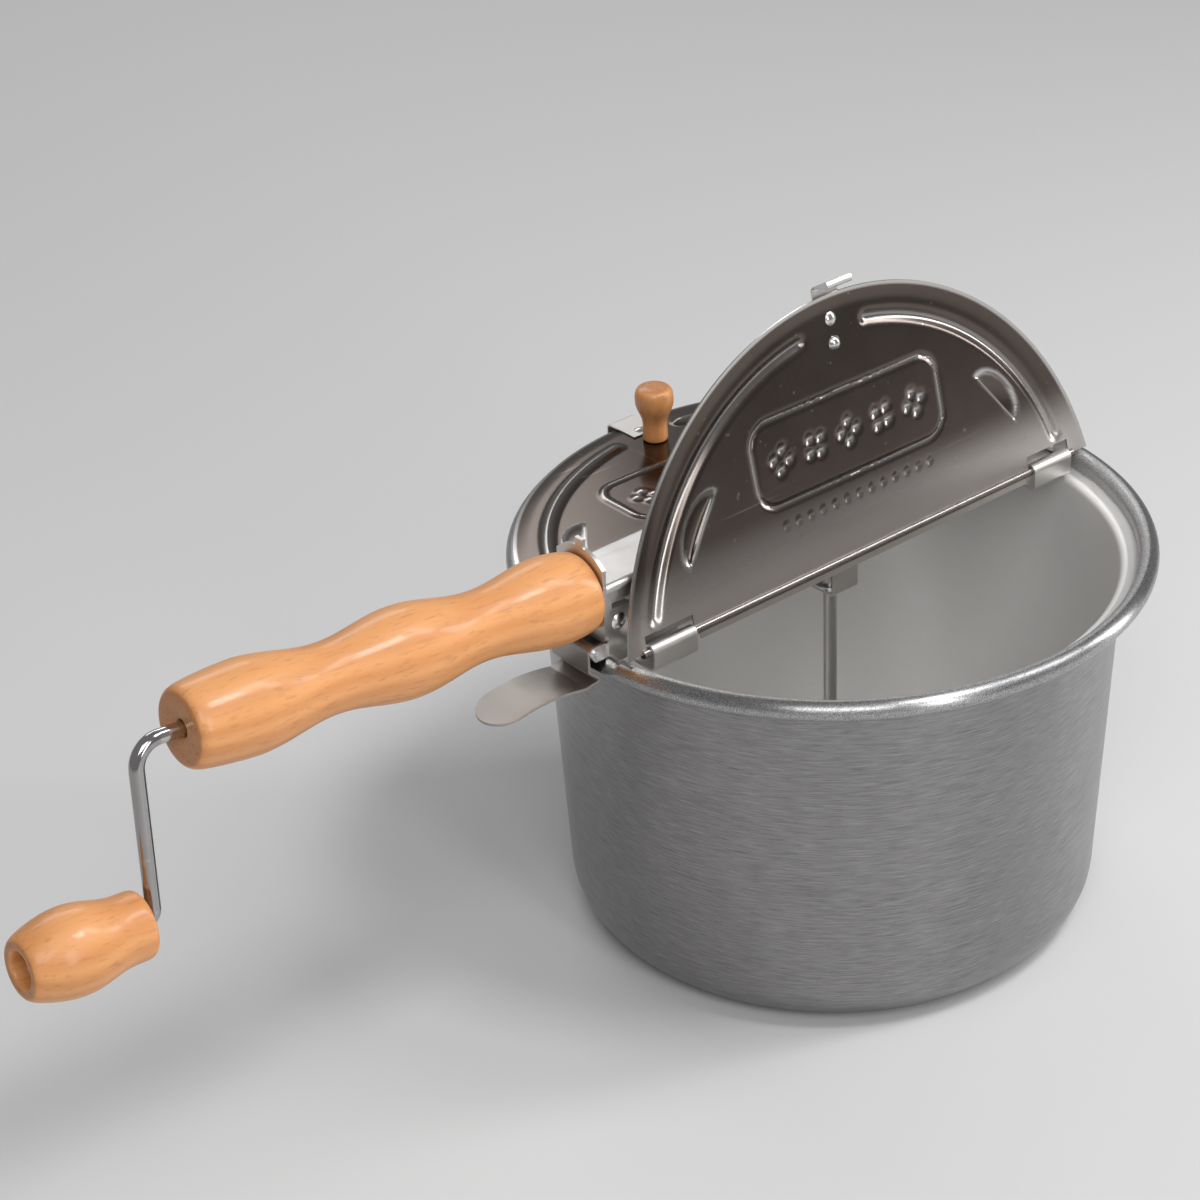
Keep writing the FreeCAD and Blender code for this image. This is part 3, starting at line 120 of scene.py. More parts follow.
# %% Node helpers
def add(tree, kind, inputs=None, **settings):
    """Add a node, set its properties, and fill or join its inputs."""
    node = tree.nodes.new(kind)
    for name, value in settings.items():
        setattr(node, name, value)
    for name, value in (inputs or {}).items():
        if isinstance(value, bpy.types.NodeSocket):
            tree.links.new(value, node.inputs[name])
        else:
            node.inputs[name].default_value = value
    return node


def maths(tree, operation, first, second=0.0, clamp=False):
    """One sum of two values."""
    return add(tree, "ShaderNodeMath", {0: first, 1: second}, operation=operation,
               use_clamp=clamp).outputs[0]


def vectors(tree, operation, first, second=(0, 0, 0)):
    """One sum of two vectors."""
    return add(tree, "ShaderNodeVectorMath", {0: first, 1: second}, operation=operation)


def mixed(tree, share, first, second):
    """A blend of two colours."""
    node = add(tree, "ShaderNodeMix", {"Factor": share}, data_type="RGBA")
    for socket, value in ((node.inputs[6], first), (node.inputs[7], second)):
        if isinstance(value, bpy.types.NodeSocket):
            tree.links.new(value, socket)
        else:
            socket.default_value = tuple(value) + (1,)
    return node.outputs[2]


def stretch(tree, value, low, high, new_low=0.0, new_high=1.0):
    """Spread a part of a value's range over a new range."""
    node = add(tree, "ShaderNodeMapRange", {"Value": value, "From Min": low, "From Max": high,
                                            "To Min": new_low, "To Max": new_high})
    return node.outputs["Result"]


def noise(tree, place, scale, detail=2.0, roughness=0.5, distortion=0.0):
    """Soft random values over a place."""
    return add(tree, "ShaderNodeTexNoise", {"Vector": place, "Scale": scale, "Detail": detail,
                                            "Roughness": roughness,
                                            "Distortion": distortion}).outputs["Fac"]


def effect(name, numbers, outputs, place_input=False):
    """Start a node group with named number inputs, and give its ends."""
    tree = bpy.data.node_groups.new(name, "ShaderNodeTree")
    if place_input:
        tree.interface.new_socket(name="Place", in_out="INPUT", socket_type="NodeSocketVector")
    for label, value in numbers.items():
        socket = tree.interface.new_socket(name=label, in_out="INPUT",
                                           socket_type="NodeSocketFloat")
        socket.default_value = value
    for label, kind in outputs.items():
        tree.interface.new_socket(name=label, in_out="OUTPUT", socket_type="NodeSocket" + kind)
    return tree, tree.nodes.new("NodeGroupInput").outputs, tree.nodes.new("NodeGroupOutput").inputs


print("helpers ready")

# %% [markdown]
# A spun pan shows the tool's path: hundreds of fine lines that run round it. They could be
# cut as real grooves, but they are a tenth of a millimetre deep, so a pattern does it. The
# place is split into its turn about the upright, which varies slowly, and its height plus
# its radius, which varies fast, and noise over that gives long thin streaks with no seam.

# %% Lines of a spun surface
spun_lines, given, result = effect("Spun_Lines", {"Density": 1500.0, "Length": 1.2},
                                   {"Lines": "Float", "Bands": "Float"})
place = add(spun_lines, "ShaderNodeTexCoord").outputs["Object"]
parts = add(spun_lines, "ShaderNodeSeparateXYZ", {0: place}).outputs
flat = add(spun_lines, "ShaderNodeCombineXYZ", {0: parts[0], 1: parts[1]}).outputs[0]
radius = vectors(spun_lines, "LENGTH", flat).outputs["Value"]
facing = vectors(spun_lines, "NORMALIZE", flat).outputs["Vector"]
facing = add(spun_lines, "ShaderNodeVectorMath", {0: facing, "Scale": given["Length"]},
             operation="SCALE").outputs["Vector"]
run = maths(spun_lines, "ADD", parts[2], radius)
along = add(spun_lines, "ShaderNodeSeparateXYZ", {0: facing}).outputs
fine = add(spun_lines, "ShaderNodeCombineXYZ", {
    0: along[0], 1: along[1], 2: maths(spun_lines, "MULTIPLY", run, given["Density"])}).outputs[0]
broad = add(spun_lines, "ShaderNodeCombineXYZ", {
    0: along[0], 1: along[1], 2: maths(spun_lines, "MULTIPLY", run, 90.0)}).outputs[0]
spun_lines.links.new(noise(spun_lines, fine, 1.0, 3.0, 0.7), result["Lines"])
spun_lines.links.new(noise(spun_lines, broad, 1.0, 2.0), result["Bands"])
print("group:", spun_lines.name)

# %% [markdown]
# Handling leaves soft smudges and a few thin scratches on bright sheet. Both are noise: the
# smudges are broad and low, and a scratch is noise drawn out very long in one direction and
# then cut down to its highest crests.

# %% Wear of handled metal
hand_wear, given, result = effect("Hand_Wear", {"Smudge Size": 40.0, "Scratch Size": 260.0},
                                  {"Smudge": "Float", "Scratch": "Float", "Grit": "Float"})
place = add(hand_wear, "ShaderNodeTexCoord").outputs["Object"]
scratches = []
for turned, drawn in (((0.3, 0.2, 0.7), (0.03, 1, 1)), ((0.1, 0.9, 2.1), (1, 0.03, 1))):
    laid = add(hand_wear, "ShaderNodeMapping", {"Vector": place, "Rotation": turned,
                                                "Scale": drawn}).outputs[0]
    crest = noise(hand_wear, laid, given["Scratch Size"], 2.0)
    scratches.append(stretch(hand_wear, crest, 0.70, 0.78))
smudge = noise(hand_wear, place, given["Smudge Size"], 4.0, 0.6, 0.4)
hand_wear.links.new(smudge, result["Smudge"])
hand_wear.links.new(maths(hand_wear, "MAXIMUM", *scratches), result["Scratch"])
hand_wear.links.new(noise(hand_wear, place, 2600.0, 2.0), result["Grit"])
print("group:", hand_wear.name)

# %% [markdown]
# Beech has a fine, even grain. Along the piece run pale and darker year rings, and between
# them lie short dark flecks, a few millimetres long and a hair wide. The group takes a place
# that is already turned so that the grain runs along X, because every turned piece is cut
# with the grain along its own axis.

# %% Grain of the wood
wood_grain, given, result = effect("Wood_Grain", {"Ring Size": 85.0, "Fleck Size": 900.0},
                                   {"Rings": "Float", "Flecks": "Float", "Tone": "Float"},
                                   place_input=True)
drawn = add(wood_grain, "ShaderNodeMapping", {"Vector": given["Place"],
                                              "Scale": (0.10, 1, 1)}).outputs[0]
warped = noise(wood_grain, drawn, given["Ring Size"], 3.0, 0.55, 0.8)
cut = add(wood_grain, "ShaderNodeMapping", {"Vector": given["Place"], "Scale": (0.05, 1, 1),
                                            "Location": (0, 0.05, 0.02)}).outputs[0]
waves = add(wood_grain, "ShaderNodeTexWave", {"Vector": cut, "Scale": 45.0, "Distortion": 4.0,
                                              "Detail": 2.0, "Detail Scale": 1.2},
            wave_type="BANDS", bands_direction="Z").outputs["Fac"]
rings = maths(wood_grain, "MULTIPLY", maths(wood_grain, "ADD", waves, warped), 0.5)
hairs = add(wood_grain, "ShaderNodeMapping", {"Vector": given["Place"],
                                              "Scale": (0.12, 1, 1)}).outputs[0]
flecks = stretch(wood_grain, noise(wood_grain, hairs, given["Fleck Size"], 2.0), 0.55, 0.75)
wood_grain.links.new(rings, result["Rings"])
wood_grain.links.new(flecks, result["Flecks"])
wood_grain.links.new(noise(wood_grain, given["Place"], 22.0, 2.0), result["Tone"])
print("group:", wood_grain.name)

# %% [markdown]
# Sharp edges are painted brighter: partly wear from rubbing, partly a painted highlight where they
# catch the light. Where the surface turns sharply its pointedness is above one half, and the group
# turns that into a mask.

# %% Edges: wear and painted highlight
edge_wear_highlight, given, result = effect("Edge_Wear_Highlight", {"Sharp": 0.56, "Soft": 0.51}, {"Edge": "Float"})
pointed = add(edge_wear_highlight, "ShaderNodeNewGeometry").outputs["Pointiness"]
edge = stretch(edge_wear_highlight, pointed, given["Soft"], given["Sharp"])
edge_wear_highlight.links.new(edge, result["Edge"])
print("group:", edge_wear_highlight.name)

# %% [markdown]
# A finish starts from one shader, and takes its colour, roughness and surface from the
# groups. The numbers that are the same all over are set on the shader's own sockets.

# %% Start of a finish
def start_finish(name, **sockets):
    """A new material and its shader, with the plain values set."""
    material = bpy.data.materials.new(name)
    material.use_nodes = True
    shader = material.node_tree.nodes["Principled BSDF"]
    for label, value in sockets.items():
        shader.inputs[label.replace("_", " ")].default_value = value
    return material, material.node_tree, shader


def use(tree, group, **numbers):
    """Place a group in a finish with its own values."""
    node = add(tree, "ShaderNodeGroup", node_tree=group)
    for label, value in numbers.items():
        if isinstance(value, bpy.types.NodeSocket):
            tree.links.new(value, node.inputs[label.replace("_", " ")])
        else:
            node.inputs[label.replace("_", " ")].default_value = value
    return node.outputs


def bumped(tree, shader, height, strength, distance):
    """Give the shader a surface from a height."""
    bump = add(tree, "ShaderNodeBump", {"Height": height, "Strength": strength,
                                        "Distance": distance})
    tree.links.new(bump.outputs["Normal"], shader.inputs["Normal"])


print("finishes start here")

# %% [markdown]
# The pan is raw aluminium. Outside it is brushed and grey; inside it is softer, and painted much
# paler, partly from its satin finish and partly as painted light for the light that falls into the
# open pan; and its rolled rim is dull from knocks. The three are one sheet, so one finish tells
# them apart by the place: the rim is high and wide, and inside is where the surface looks towards
# the axis or up. The brushing runs round the pan, so the shader's tangent does too, and each lamp
# is drawn out, a quarter turn from it, into an upright band.

# %% Pan finish
RIM_STARTS, RIM_IS_FULL = (0.1122, 0.1450), (0.1132, 0.1464)   # radius and height
BRUSHED_DARK, BRUSHED_LIGHT = (0.19, 0.185, 0.185), (0.38, 0.375, 0.375)
# The inside colours are painted pale: partly satin finish, partly painted light for the lit inside
# of the pan.
INNER_DARK, INNER_LIGHT = (0.86, 0.85, 0.835), (0.95, 0.94, 0.925)
KNOCKED_DARK, KNOCKED_LIGHT = (0.20, 0.20, 0.205), (0.55, 0.55, 0.55)
pan_metal, tree, shader = start_finish("pan_brushed_aluminium", Anisotropic=0.8,
                                     Anisotropic_Rotation=0.25)
lines = use(tree, spun_lines, Density=2600.0, Length=11.0)
wear = use(tree, hand_wear, Smudge_Size=26.0)
place = add(tree, "ShaderNodeTexCoord").outputs["Object"]
parts = add(tree, "ShaderNodeSeparateXYZ", {0: place}).outputs
flat = add(tree, "ShaderNodeCombineXYZ", {0: parts[0], 1: parts[1]}).outputs[0]
radius = vectors(tree, "LENGTH", flat).outputs["Value"]
looks = add(tree, "ShaderNodeNewGeometry").outputs["Normal"]
outward = vectors(tree, "DOT_PRODUCT", looks, vectors(tree, "NORMALIZE", flat).outputs[0])
inside = stretch(tree, outward.outputs["Value"], 0.1, -0.1)
rim = maths(tree, "MULTIPLY", stretch(tree, radius, RIM_STARTS[0], RIM_IS_FULL[0]),
            stretch(tree, parts[2], RIM_STARTS[1], RIM_IS_FULL[1]))
shade = maths(tree, "ADD", maths(tree, "MULTIPLY", lines["Lines"], 0.9),
              maths(tree, "MULTIPLY", lines["Bands"], 0.1))
outer = mixed(tree, stretch(tree, shade, 0.30, 0.70), BRUSHED_DARK, BRUSHED_LIGHT)
# The inside takes the pale colours: painted light inside the open pan.
inner = mixed(tree, shade, INNER_DARK, INNER_LIGHT)
wall = mixed(tree, inside, outer, inner)
rolled = mixed(tree, stretch(tree, wear["Grit"], 0.35, 0.65), KNOCKED_DARK, KNOCKED_LIGHT)
colour = mixed(tree, rim, wall, rolled)
tree.links.new(colour, shader.inputs["Base Color"])
tree.links.new(stretch(tree, inside, 0.0, 1.0, 1.0, 0.20), shader.inputs["Metallic"])
dull = maths(tree, "ADD", 0.24, maths(tree, "MULTIPLY", wear["Smudge"], 0.14))
tree.links.new(dull, shader.inputs["Roughness"])
height = maths(tree, "ADD", lines["Lines"], maths(tree, "MULTIPLY", wear["Grit"], rim))
bumped(tree, shader, height, 0.20, 0.00006)
around = add(tree, "ShaderNodeCombineXYZ", {0: maths(tree, "MULTIPLY", parts[1], -1.0),
                                            1: parts[0]}).outputs[0]
tree.links.new(vectors(tree, "NORMALIZE", around).outputs[0], shader.inputs["Tangent"])
print("finish:", pan_metal.name)

# %% [markdown]
# The sheet parts differ in shine more than in kind: a plated bar, a springy latch, chromed
# rods, plain screws and satin gears. One function makes them all, from two shades, a
# roughness and how much they are worn.

# %% Sheet and rod finishes
def metal_finish(name, dark, light, rough, scratched):
    """A bright metal with smudges, thin scratches, and edges painted brighter, partly as wear and
    partly as a painted highlight.
    """
    material, tree, shader = start_finish(name, Metallic=1.0)
    wear = use(tree, hand_wear, Smudge_Size=40.0)
    worn_and_highlit_edge = use(tree, edge_wear_highlight)["Edge"]
    body = mixed(tree, wear["Smudge"], dark, light)
    marked = maths(tree, "MULTIPLY", wear["Scratch"], scratched)
    # Scratches are real wear; the brighter edges are partly wear and partly a painted highlight.
    bright = maths(tree, "MAXIMUM", marked, maths(tree, "MULTIPLY", worn_and_highlit_edge, 0.6))
    colour = mixed(tree, bright, body, tuple(min(1.0, v * 1.6 + 0.1) for v in light))
    tree.links.new(colour, shader.inputs["Base Color"])
    cloudy = maths(tree, "MULTIPLY", wear["Smudge"], rough * 0.8)
    dull = maths(tree, "ADD", rough * 0.7, maths(tree, "ADD", cloudy,
                                                 maths(tree, "MULTIPLY", marked, 0.15)))
    tree.links.new(dull, shader.inputs["Roughness"])
    bumped(tree, shader, maths(tree, "MULTIPLY", wear["Grit"], 0.05), 0.25, 0.0006)
    return material


bar_plate = metal_finish("bar_plated_steel", (0.34, 0.325, 0.31), (0.50, 0.485, 0.47), 0.34, 0.5)
latch_spring = metal_finish("latch_spring_steel", (0.17, 0.152, 0.14), (0.27, 0.25, 0.232),
                            0.40, 0.6)
rod_chrome = metal_finish("rod_chrome", (0.32, 0.31, 0.31), (0.46, 0.45, 0.44), 0.10, 0.3)
screw_metal = metal_finish("screw_bright", (0.50, 0.49, 0.47), (0.68, 0.67, 0.65), 0.20, 0.3)
gear_metal = metal_finish("gear_satin", (0.34, 0.34, 0.34), (0.48, 0.48, 0.47), 0.34, 0.4)
print("sheet and rod finishes: 5")

# %% [markdown]
# The lids are tinplate, a dark mirror. A painted highlight lies along the edge, on the lips of the
# vents and on the crests of the raised lines, and a band by the hinge is painted paler as a
# painted reflection. Those places follow the pressed shape, so each lid carries them as two
# attributes: how far from the hinge a point lies, and how much painted highlight its tin gets.

# %% Lid finish
DARK_TIN, CLOUDY_TIN = (0.072, 0.055, 0.046), (0.140, 0.116, 0.102)
# Paler tin for the painted reflection by the hinge, and brighter tin for the painted highlights.
PAINTED_REFLECTION_TIN, PAINTED_HIGHLIGHT_TIN = (0.66, 0.62, 0.59), (0.58, 0.56, 0.54)
lid_tin, tree, shader = start_finish("lid_tinplate", Metallic=1.0)
wear = use(tree, hand_wear, Smudge_Size=14.0, Scratch_Size=320.0)
reach = add(tree, "ShaderNodeAttribute", attribute_name="reach").outputs["Fac"]
# The painted highlight on the edge, vent lips and crests, kept per point.
painted_highlight = add(tree, "ShaderNodeAttribute", attribute_name="painted_highlight").outputs["Fac"]
base = mixed(tree, wear["Smudge"], DARK_TIN, CLOUDY_TIN)
# A band by the hinge is painted paler: a painted reflection.
painted_reflection = add(tree, "ShaderNodeMapRange", {"Value": reach, "From Min": 0.26, "From Max": 0.04},
            interpolation_type="SMOOTHSTEP").outputs["Result"]
paler = mixed(tree, maths(tree, "MULTIPLY", painted_reflection, 0.85), base, PAINTED_REFLECTION_TIN)
marked = maths(tree, "MULTIPLY", wear["Scratch"], 0.30)
# The painted highlights join the real scratches.
bright = maths(tree, "MAXIMUM", painted_highlight, marked, clamp=True)
tree.links.new(mixed(tree, bright, paler, PAINTED_HIGHLIGHT_TIN), shader.inputs["Base Color"])
dull = maths(tree, "ADD", 0.13, maths(tree, "MULTIPLY", wear["Smudge"], 0.14))
tree.links.new(maths(tree, "ADD", dull, maths(tree, "MULTIPLY", painted_reflection, 0.10)),
               shader.inputs["Roughness"])
place = add(tree, "ShaderNodeTexCoord").outputs["Object"]
bumped(tree, shader, noise(tree, place, 26.0, 1.0), 0.10, 0.0006)
print("finish:", lid_tin.name)

# %% [markdown]
# The wood is varnished beech: warm, light, with a thin clear coat that gives the soft
# highlight. Each turned piece has its own finish, because the grain has to run along that
# piece's axis, and a Mapping node turns and centres it. Where the surface looks along the
# grain it is end grain, which drinks more varnish and is darker.

# %% Wood finishes
PALE_BEECH, DEEP_BEECH = (0.74, 0.335, 0.120), (0.62, 0.250, 0.078)


def shaded(colour, share):
    """A colour made lighter or darker."""
    return tuple(value * share for value in colour)


def wood_finish(name, centre, turned):
    """Varnished beech with its grain along a piece's own axis."""
    material, tree, shader = start_finish(name, Coat_Weight=0.30, Coat_Roughness=0.14)
    place = add(tree, "ShaderNodeTexCoord").outputs["Object"]
    laid = add(tree, "ShaderNodeMapping", {"Vector": place, "Location": centre,
                                           "Rotation": turned},
               vector_type="TEXTURE").outputs[0]
    grain = use(tree, wood_grain, Place=laid)
    body = mixed(tree, stretch(tree, grain["Rings"], 0.25, 0.75), PALE_BEECH, DEEP_BEECH)
    toned = mixed(tree, maths(tree, "MULTIPLY", grain["Tone"], 0.45), body,
                  shaded(PALE_BEECH, 1.08))
    flecked = mixed(tree, maths(tree, "MULTIPLY", grain["Flecks"], 0.34), toned,
                    shaded(DEEP_BEECH, 0.45))
    axis = Euler(turned).to_matrix() @ Vector((1, 0, 0))
    looks = add(tree, "ShaderNodeTexCoord").outputs["Normal"]
    along = vectors(tree, "DOT_PRODUCT", looks, axis).outputs["Value"]
    sawn = stretch(tree, maths(tree, "ABSOLUTE", along), 0.80, 0.97)
    ends = mixed(tree, grain["Flecks"], shaded(DEEP_BEECH, 0.72), shaded(DEEP_BEECH, 0.35))
    colour = mixed(tree, maths(tree, "MULTIPLY", sawn, 0.7), flecked, ends)
    tree.links.new(colour, shader.inputs["Base Color"])
    dull = maths(tree, "ADD", 0.42, maths(tree, "MULTIPLY", grain["Tone"], 0.12))
    tree.links.new(dull, shader.inputs["Roughness"])
    bumped(tree, shader, maths(tree, "SUBTRACT", 1.0, grain["Flecks"]), 0.12, 0.0001)
    return material


TILT = math.radians(5.3)
grip_beech = wood_finish("grip_beech", (-0.200, 0.0, 0.184), (0, TILT, 0))
crank_beech = wood_finish("crank_knob_beech", (-0.330, -0.008, 0.136), (0.4, TILT, 0))
front_beech = wood_finish("front_knob_beech", (0, 0.002, 0.232), (0, math.radians(90), 0))
rear_beech = wood_finish("rear_knob_beech", (0, 0.0993, 0.170), (0, math.radians(90), 0))
print("wood finishes: 4")

# %% [markdown]
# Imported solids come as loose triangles, so bright metal on them shows every facet. Their
# points may not move, but modifiers may join them: Weld closes the triangles up, Edge Split
# keeps the real corners, and Weighted Normal lets the flat faces stay flat.

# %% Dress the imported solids
def dress(name, material):
    """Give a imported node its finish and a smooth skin."""
    item = frame["nodes"][name]
    item.data.materials.clear()
    item.data.materials.append(material)
    item.data.shade_smooth()
    weld = item.modifiers.new("join", "WELD")
    weld.merge_threshold = 0.000002
    split = item.modifiers.new("corners", "EDGE_SPLIT")
    split.split_angle = math.radians(28)
    level = item.modifiers.new("flats", "WEIGHTED_NORMAL")
    level.keep_sharp = True


FINISH_OF_SLOT = {
    "pan_aluminium": pan_metal, "bar_steel": bar_plate, "rivet_steel": screw_metal,
    "grip_wood": grip_beech, "knob_wood": rear_beech, "screw_steel": screw_metal,
    "latch_steel": latch_spring, "rod_steel": rod_chrome, "gear_steel": gear_metal,
    "lid_steel": bar_plate,
}
for part in frame["record"]["subparts"]:
    dress(part["node"], FINISH_OF_SLOT[part["material_slot"]])

# %% [markdown]
# Turned wood starts as a square blank on a lathe. Here it starts as a line of points, the
# turner's template: how far along, and how wide. Spin turns the line about the axis, and
# Subdivision Surface draws the smooth swellings between the points, as the gouge does. The
# smoothing is settled into the mesh, so that single points can still be moved after it.

# %% Turning helper
def mesh_object(name, mesh):
    """Make a smooth object of a bmesh, and close the bmesh."""
    data = bpy.data.meshes.new(name)
    mesh.to_mesh(data)
    mesh.free()
    data.shade_smooth()
    item = bpy.data.objects.new(name, data)
    bpy.context.scene.collection.objects.link(item)
    return item


def settled(item):
    """Replace an object's mesh by what its modifiers make of it."""
    bpy.context.view_layer.update()
    seen = item.evaluated_get(bpy.context.evaluated_depsgraph_get())
    item.data = bpy.data.meshes.new_from_object(seen)
    item.modifiers.clear()


def spun(mesh, axis, steps):
    """Spin all points and edges of a bmesh once round an axis, and close the seam."""
    bmesh.ops.spin(mesh, geom=mesh.verts[:] + mesh.edges[:], cent=(0, 0, 0), axis=axis,
                   dvec=(0, 0, 0), angle=2 * math.pi, steps=steps, use_merge=True)
    bmesh.ops.remove_doubles(mesh, verts=mesh.verts[:], dist=0.00001)
    bmesh.ops.recalc_face_normals(mesh, faces=mesh.faces[:])


def turned_piece(name, template, place, steps=28):
    """Spin a closed template of (along, radius) about X, smooth it and place it."""
    mesh = bmesh.new()
    line = [mesh.verts.new((along / MM, 0, wide / MM)) for along, wide in template]
    for first, second in zip(line, line[1:] + line[:1]):
        mesh.edges.new((first, second))
    spun(mesh, (1, 0, 0), steps)
    bmesh.ops.transform(mesh, matrix=place, verts=mesh.verts[:])
    item = mesh_object(name, mesh)
    smooth = item.modifiers.new("smooth", "SUBSURF")
    smooth.levels = smooth.render_levels = 2
    settled(item)
    return item


def stand_for(piece, material, slot, *nodes):
    """Give a new piece its finish, and let it ride where the nodes it replaces ride."""
    piece.data.materials.clear()
    piece.data.materials.append(material)
    body = [name for name, held in frame["record"]["behaviour"]["bodies"].items()
            if nodes[0] in held][0]
    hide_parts(*nodes)
    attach(piece, body)
    print(piece.name, "stands for", ", ".join(nodes), "on", body)


print("lathe ready")

# %% [markdown]
# The handle has three equal swellings, a wave 62 mm long, then a gentle fall to its free
# end. The template follows that wave, rounds the free end over, dishes the end face a
# little, and comes back along the bore that the crank's shaft runs in. The other end meets
# the upright plate at a slant of 5.3 degrees. Sawing it off would leave a sharp edge, so the
# points near it are slid along the axis by that slant, and the rounded edge stays.

# %% Handle grip
SHAFT_HEIGHT, GRIP_BORE = 0.1657, 3.0
SHAFT = Matrix.Translation((0, 0, SHAFT_HEIGHT)) @ Matrix.Rotation(TILT, 4, "Y")
WAVE, FIRST_SWELLING, LAST_SWELLING = 62.0, 133.0, 257.0
TEMPLATE_START, TEMPLATE_STEP = 124.5, WAVE / 8
MEAN_RADIUS, SWELLING = 14.25, 2.1
PLATE_FACE = 118.6 / math.cos(TILT)
SLANT_STARTS, SLANT_LENGTH = -0.150, 0.025
outside = [(-u, MEAN_RADIUS + SWELLING * math.cos(2 * math.pi * (u - FIRST_SWELLING) / WAVE))
           for u in [TEMPLATE_START + TEMPLATE_STEP * k for k in range(18)] if u < LAST_SWELLING]
plate_end = [(-PLATE_FACE, GRIP_BORE), (-PLATE_FACE, 8.0), (-PLATE_FACE, 12.6),
             (-PLATE_FACE - 0.3, 13.9), (-PLATE_FACE - 1.3, 14.7)]
free_end = [(-257, 16.4), (-265, 16.1), (-272, 15.4), (-277, 14.8), (-280.4, 14.1),
            (-282.0, 13.0), (-282.5, 11.4), (-282.4, 8), (-282.1, 5), (-281.8, 3.6),
            (-281.0, 3.05), (-279.5, GRIP_BORE), (-200, GRIP_BORE),
            (-PLATE_FACE - 4, GRIP_BORE)]
grip = turned_piece("turned_handle_grip", plate_end + outside + free_end, Matrix(), steps=32)
for point in grip.data.vertices:
    slanted = min(max((point.co.x - SLANT_STARTS) / SLANT_LENGTH, 0), 1)
    point.co.x -= slanted * point.co.z * math.tan(TILT)
grip.data.transform(SHAFT)
grip.data.shade_smooth()
stand_for(grip, grip_beech, "grip_wood", "handle_grip")

# %% [markdown]
# The crank's knob is a small pear: straight where it starts, widest at two thirds, and
# open at its far end, where a deep recess hides the end of the rod.

# %% Crank knob
CRANK_TURN, CRANK_ARM = math.radians(-7.6), 0.0605
CRANK = (SHAFT @ Matrix.Rotation(CRANK_TURN, 4, "X")
         @ Matrix.Translation((0, 0, -CRANK_ARM)))
pear = [(-303.5, 2.7), (-303.5, 6.0), (-303.5, 10.2), (-304.0, 11.4), (-305.4, 11.8),
        (-309, 11.75), (-313, 11.9), (-317, 12.7), (-321, 13.8), (-325, 14.7),
        (-329, 15.0), (-333, 14.8), (-338, 13.9), (-343, 12.4), (-346.2, 11.1),
        (-347.6, 10.0), (-348.0, 8.6), (-347.9, 7.2), (-347.2, 6.2), (-345.5, 6.0),
        (-340.6, 6.0), (-340.0, 5.6), (-340.0, 2.7)]
crank_knob = turned_piece("turned_crank_knob", pear, CRANK)
stand_for(crank_knob, crank_beech, "grip_wood", "crank_knob")

# %% [markdown]
# Each lid has a small knob like a pawn without its foot: a narrow stem that opens into a
# flat-topped head. Both are one template, put on the closed lid and on the open one.

# %% Lid knobs
HINGE_HEIGHT, HINGE_SIDE, OPEN_ANGLE = 0.1552, 0.0203, math.radians(103.37)
KNOB_SIDE, SHEET_TOP = 0.0993, 0.0003
REAR_LID = Matrix.Translation((0, 0, HINGE_HEIGHT))
FRONT_LID = (Matrix.Translation((0, -HINGE_SIDE, HINGE_HEIGHT))
             @ Matrix.Rotation(-OPEN_ANGLE, 4, "X") @ Matrix.Rotation(math.pi, 4, "Z")
             @ Matrix.Translation((0, -HINGE_SIDE, 0)))
ON_LID = (Matrix.Translation((0, KNOB_SIDE, SHEET_TOP))
          @ Matrix.Rotation(-math.pi / 2, 4, "Y"))
pawn = [(0, 1.55), (0, 4.4), (0.5, 5.1), (3, 5.1), (6, 4.9), (8.5, 5.0), (11, 5.8),
        (13.5, 7.0), (16, 7.7), (18.5, 7.8), (20.8, 7.5), (22.2, 6.6), (22.9, 5.0),
        (23.0, 2.5), (23.0, 0)]
hole = [(13.9, 0), (13.9, 1.2), (13.4, 1.55), (7, 1.55)]
for side, lid_place, wood in (("front", FRONT_LID, front_beech), ("rear", REAR_LID, rear_beech)):
    knob = turned_piece("turned_%s_lid_knob" % side, pawn + hole, lid_place @ ON_LID, steps=24)
    stand_for(knob, wood, "knob_wood", side + "_lid_knob")

# %% [markdown]
# The pan is one sheet of aluminium, spun over a form, with its rim rolled outwards round a
# hollow bead. A lathe is again the natural way: the wall's section is drawn as a closed
# line, its corners are rounded with a vertex bevel, the bead's two arcs are made by
# spinning a single point in the plane of the section, and the whole section is spun once
# round the upright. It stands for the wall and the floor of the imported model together.

# %% Pan
BEAD_MIDDLE, BEAD_HEIGHT, BEAD_OUTER = 0.1168, 0.150, 0.0037
BEAD_ARC, BEAD_OVERLAP = 280, math.radians(10)
UNDER_FLOOR_TO_BEAD = [(0, 0, 0), (100.9, 0, 18), (107.9, 145, 1.5), (114.6, 145, 1.9),
                       (114.6, 150, 0)]
BEAD_TO_FLOOR = [(113.1, 146.5, 0.45), (106.4, 146.5, 3), (99.4, 1.5, 16.5), (0, 1.5, 0)]


def section_line(mesh, corners, tied=None):
    """A line of points (radius, height, rounding), with its corners rounded; gives its end."""
    line = [tied] if tied else []
    line += [mesh.verts.new((r / MM, 0, z / MM)) for r, z, _ in corners]
    for first, second in zip(line, line[1:]):
        mesh.edges.new((first, second))
    made = line[1:] if tied else line
    last = line[-1]
    for point, (_, _, rounding) in zip(made, corners):
        if not rounding:
            continue
        ways = [(edge.other_vert(point).co - point.co).normalized() for edge in point.link_edges]
        trim = rounding / MM / math.tan(ways[0].angle(ways[1]) / 2)
        bmesh.ops.bevel(mesh, geom=[point], offset=trim, offset_type="OFFSET", segments=8,
                        profile=0.5, affect="VERTICES", material=-1)
    return last


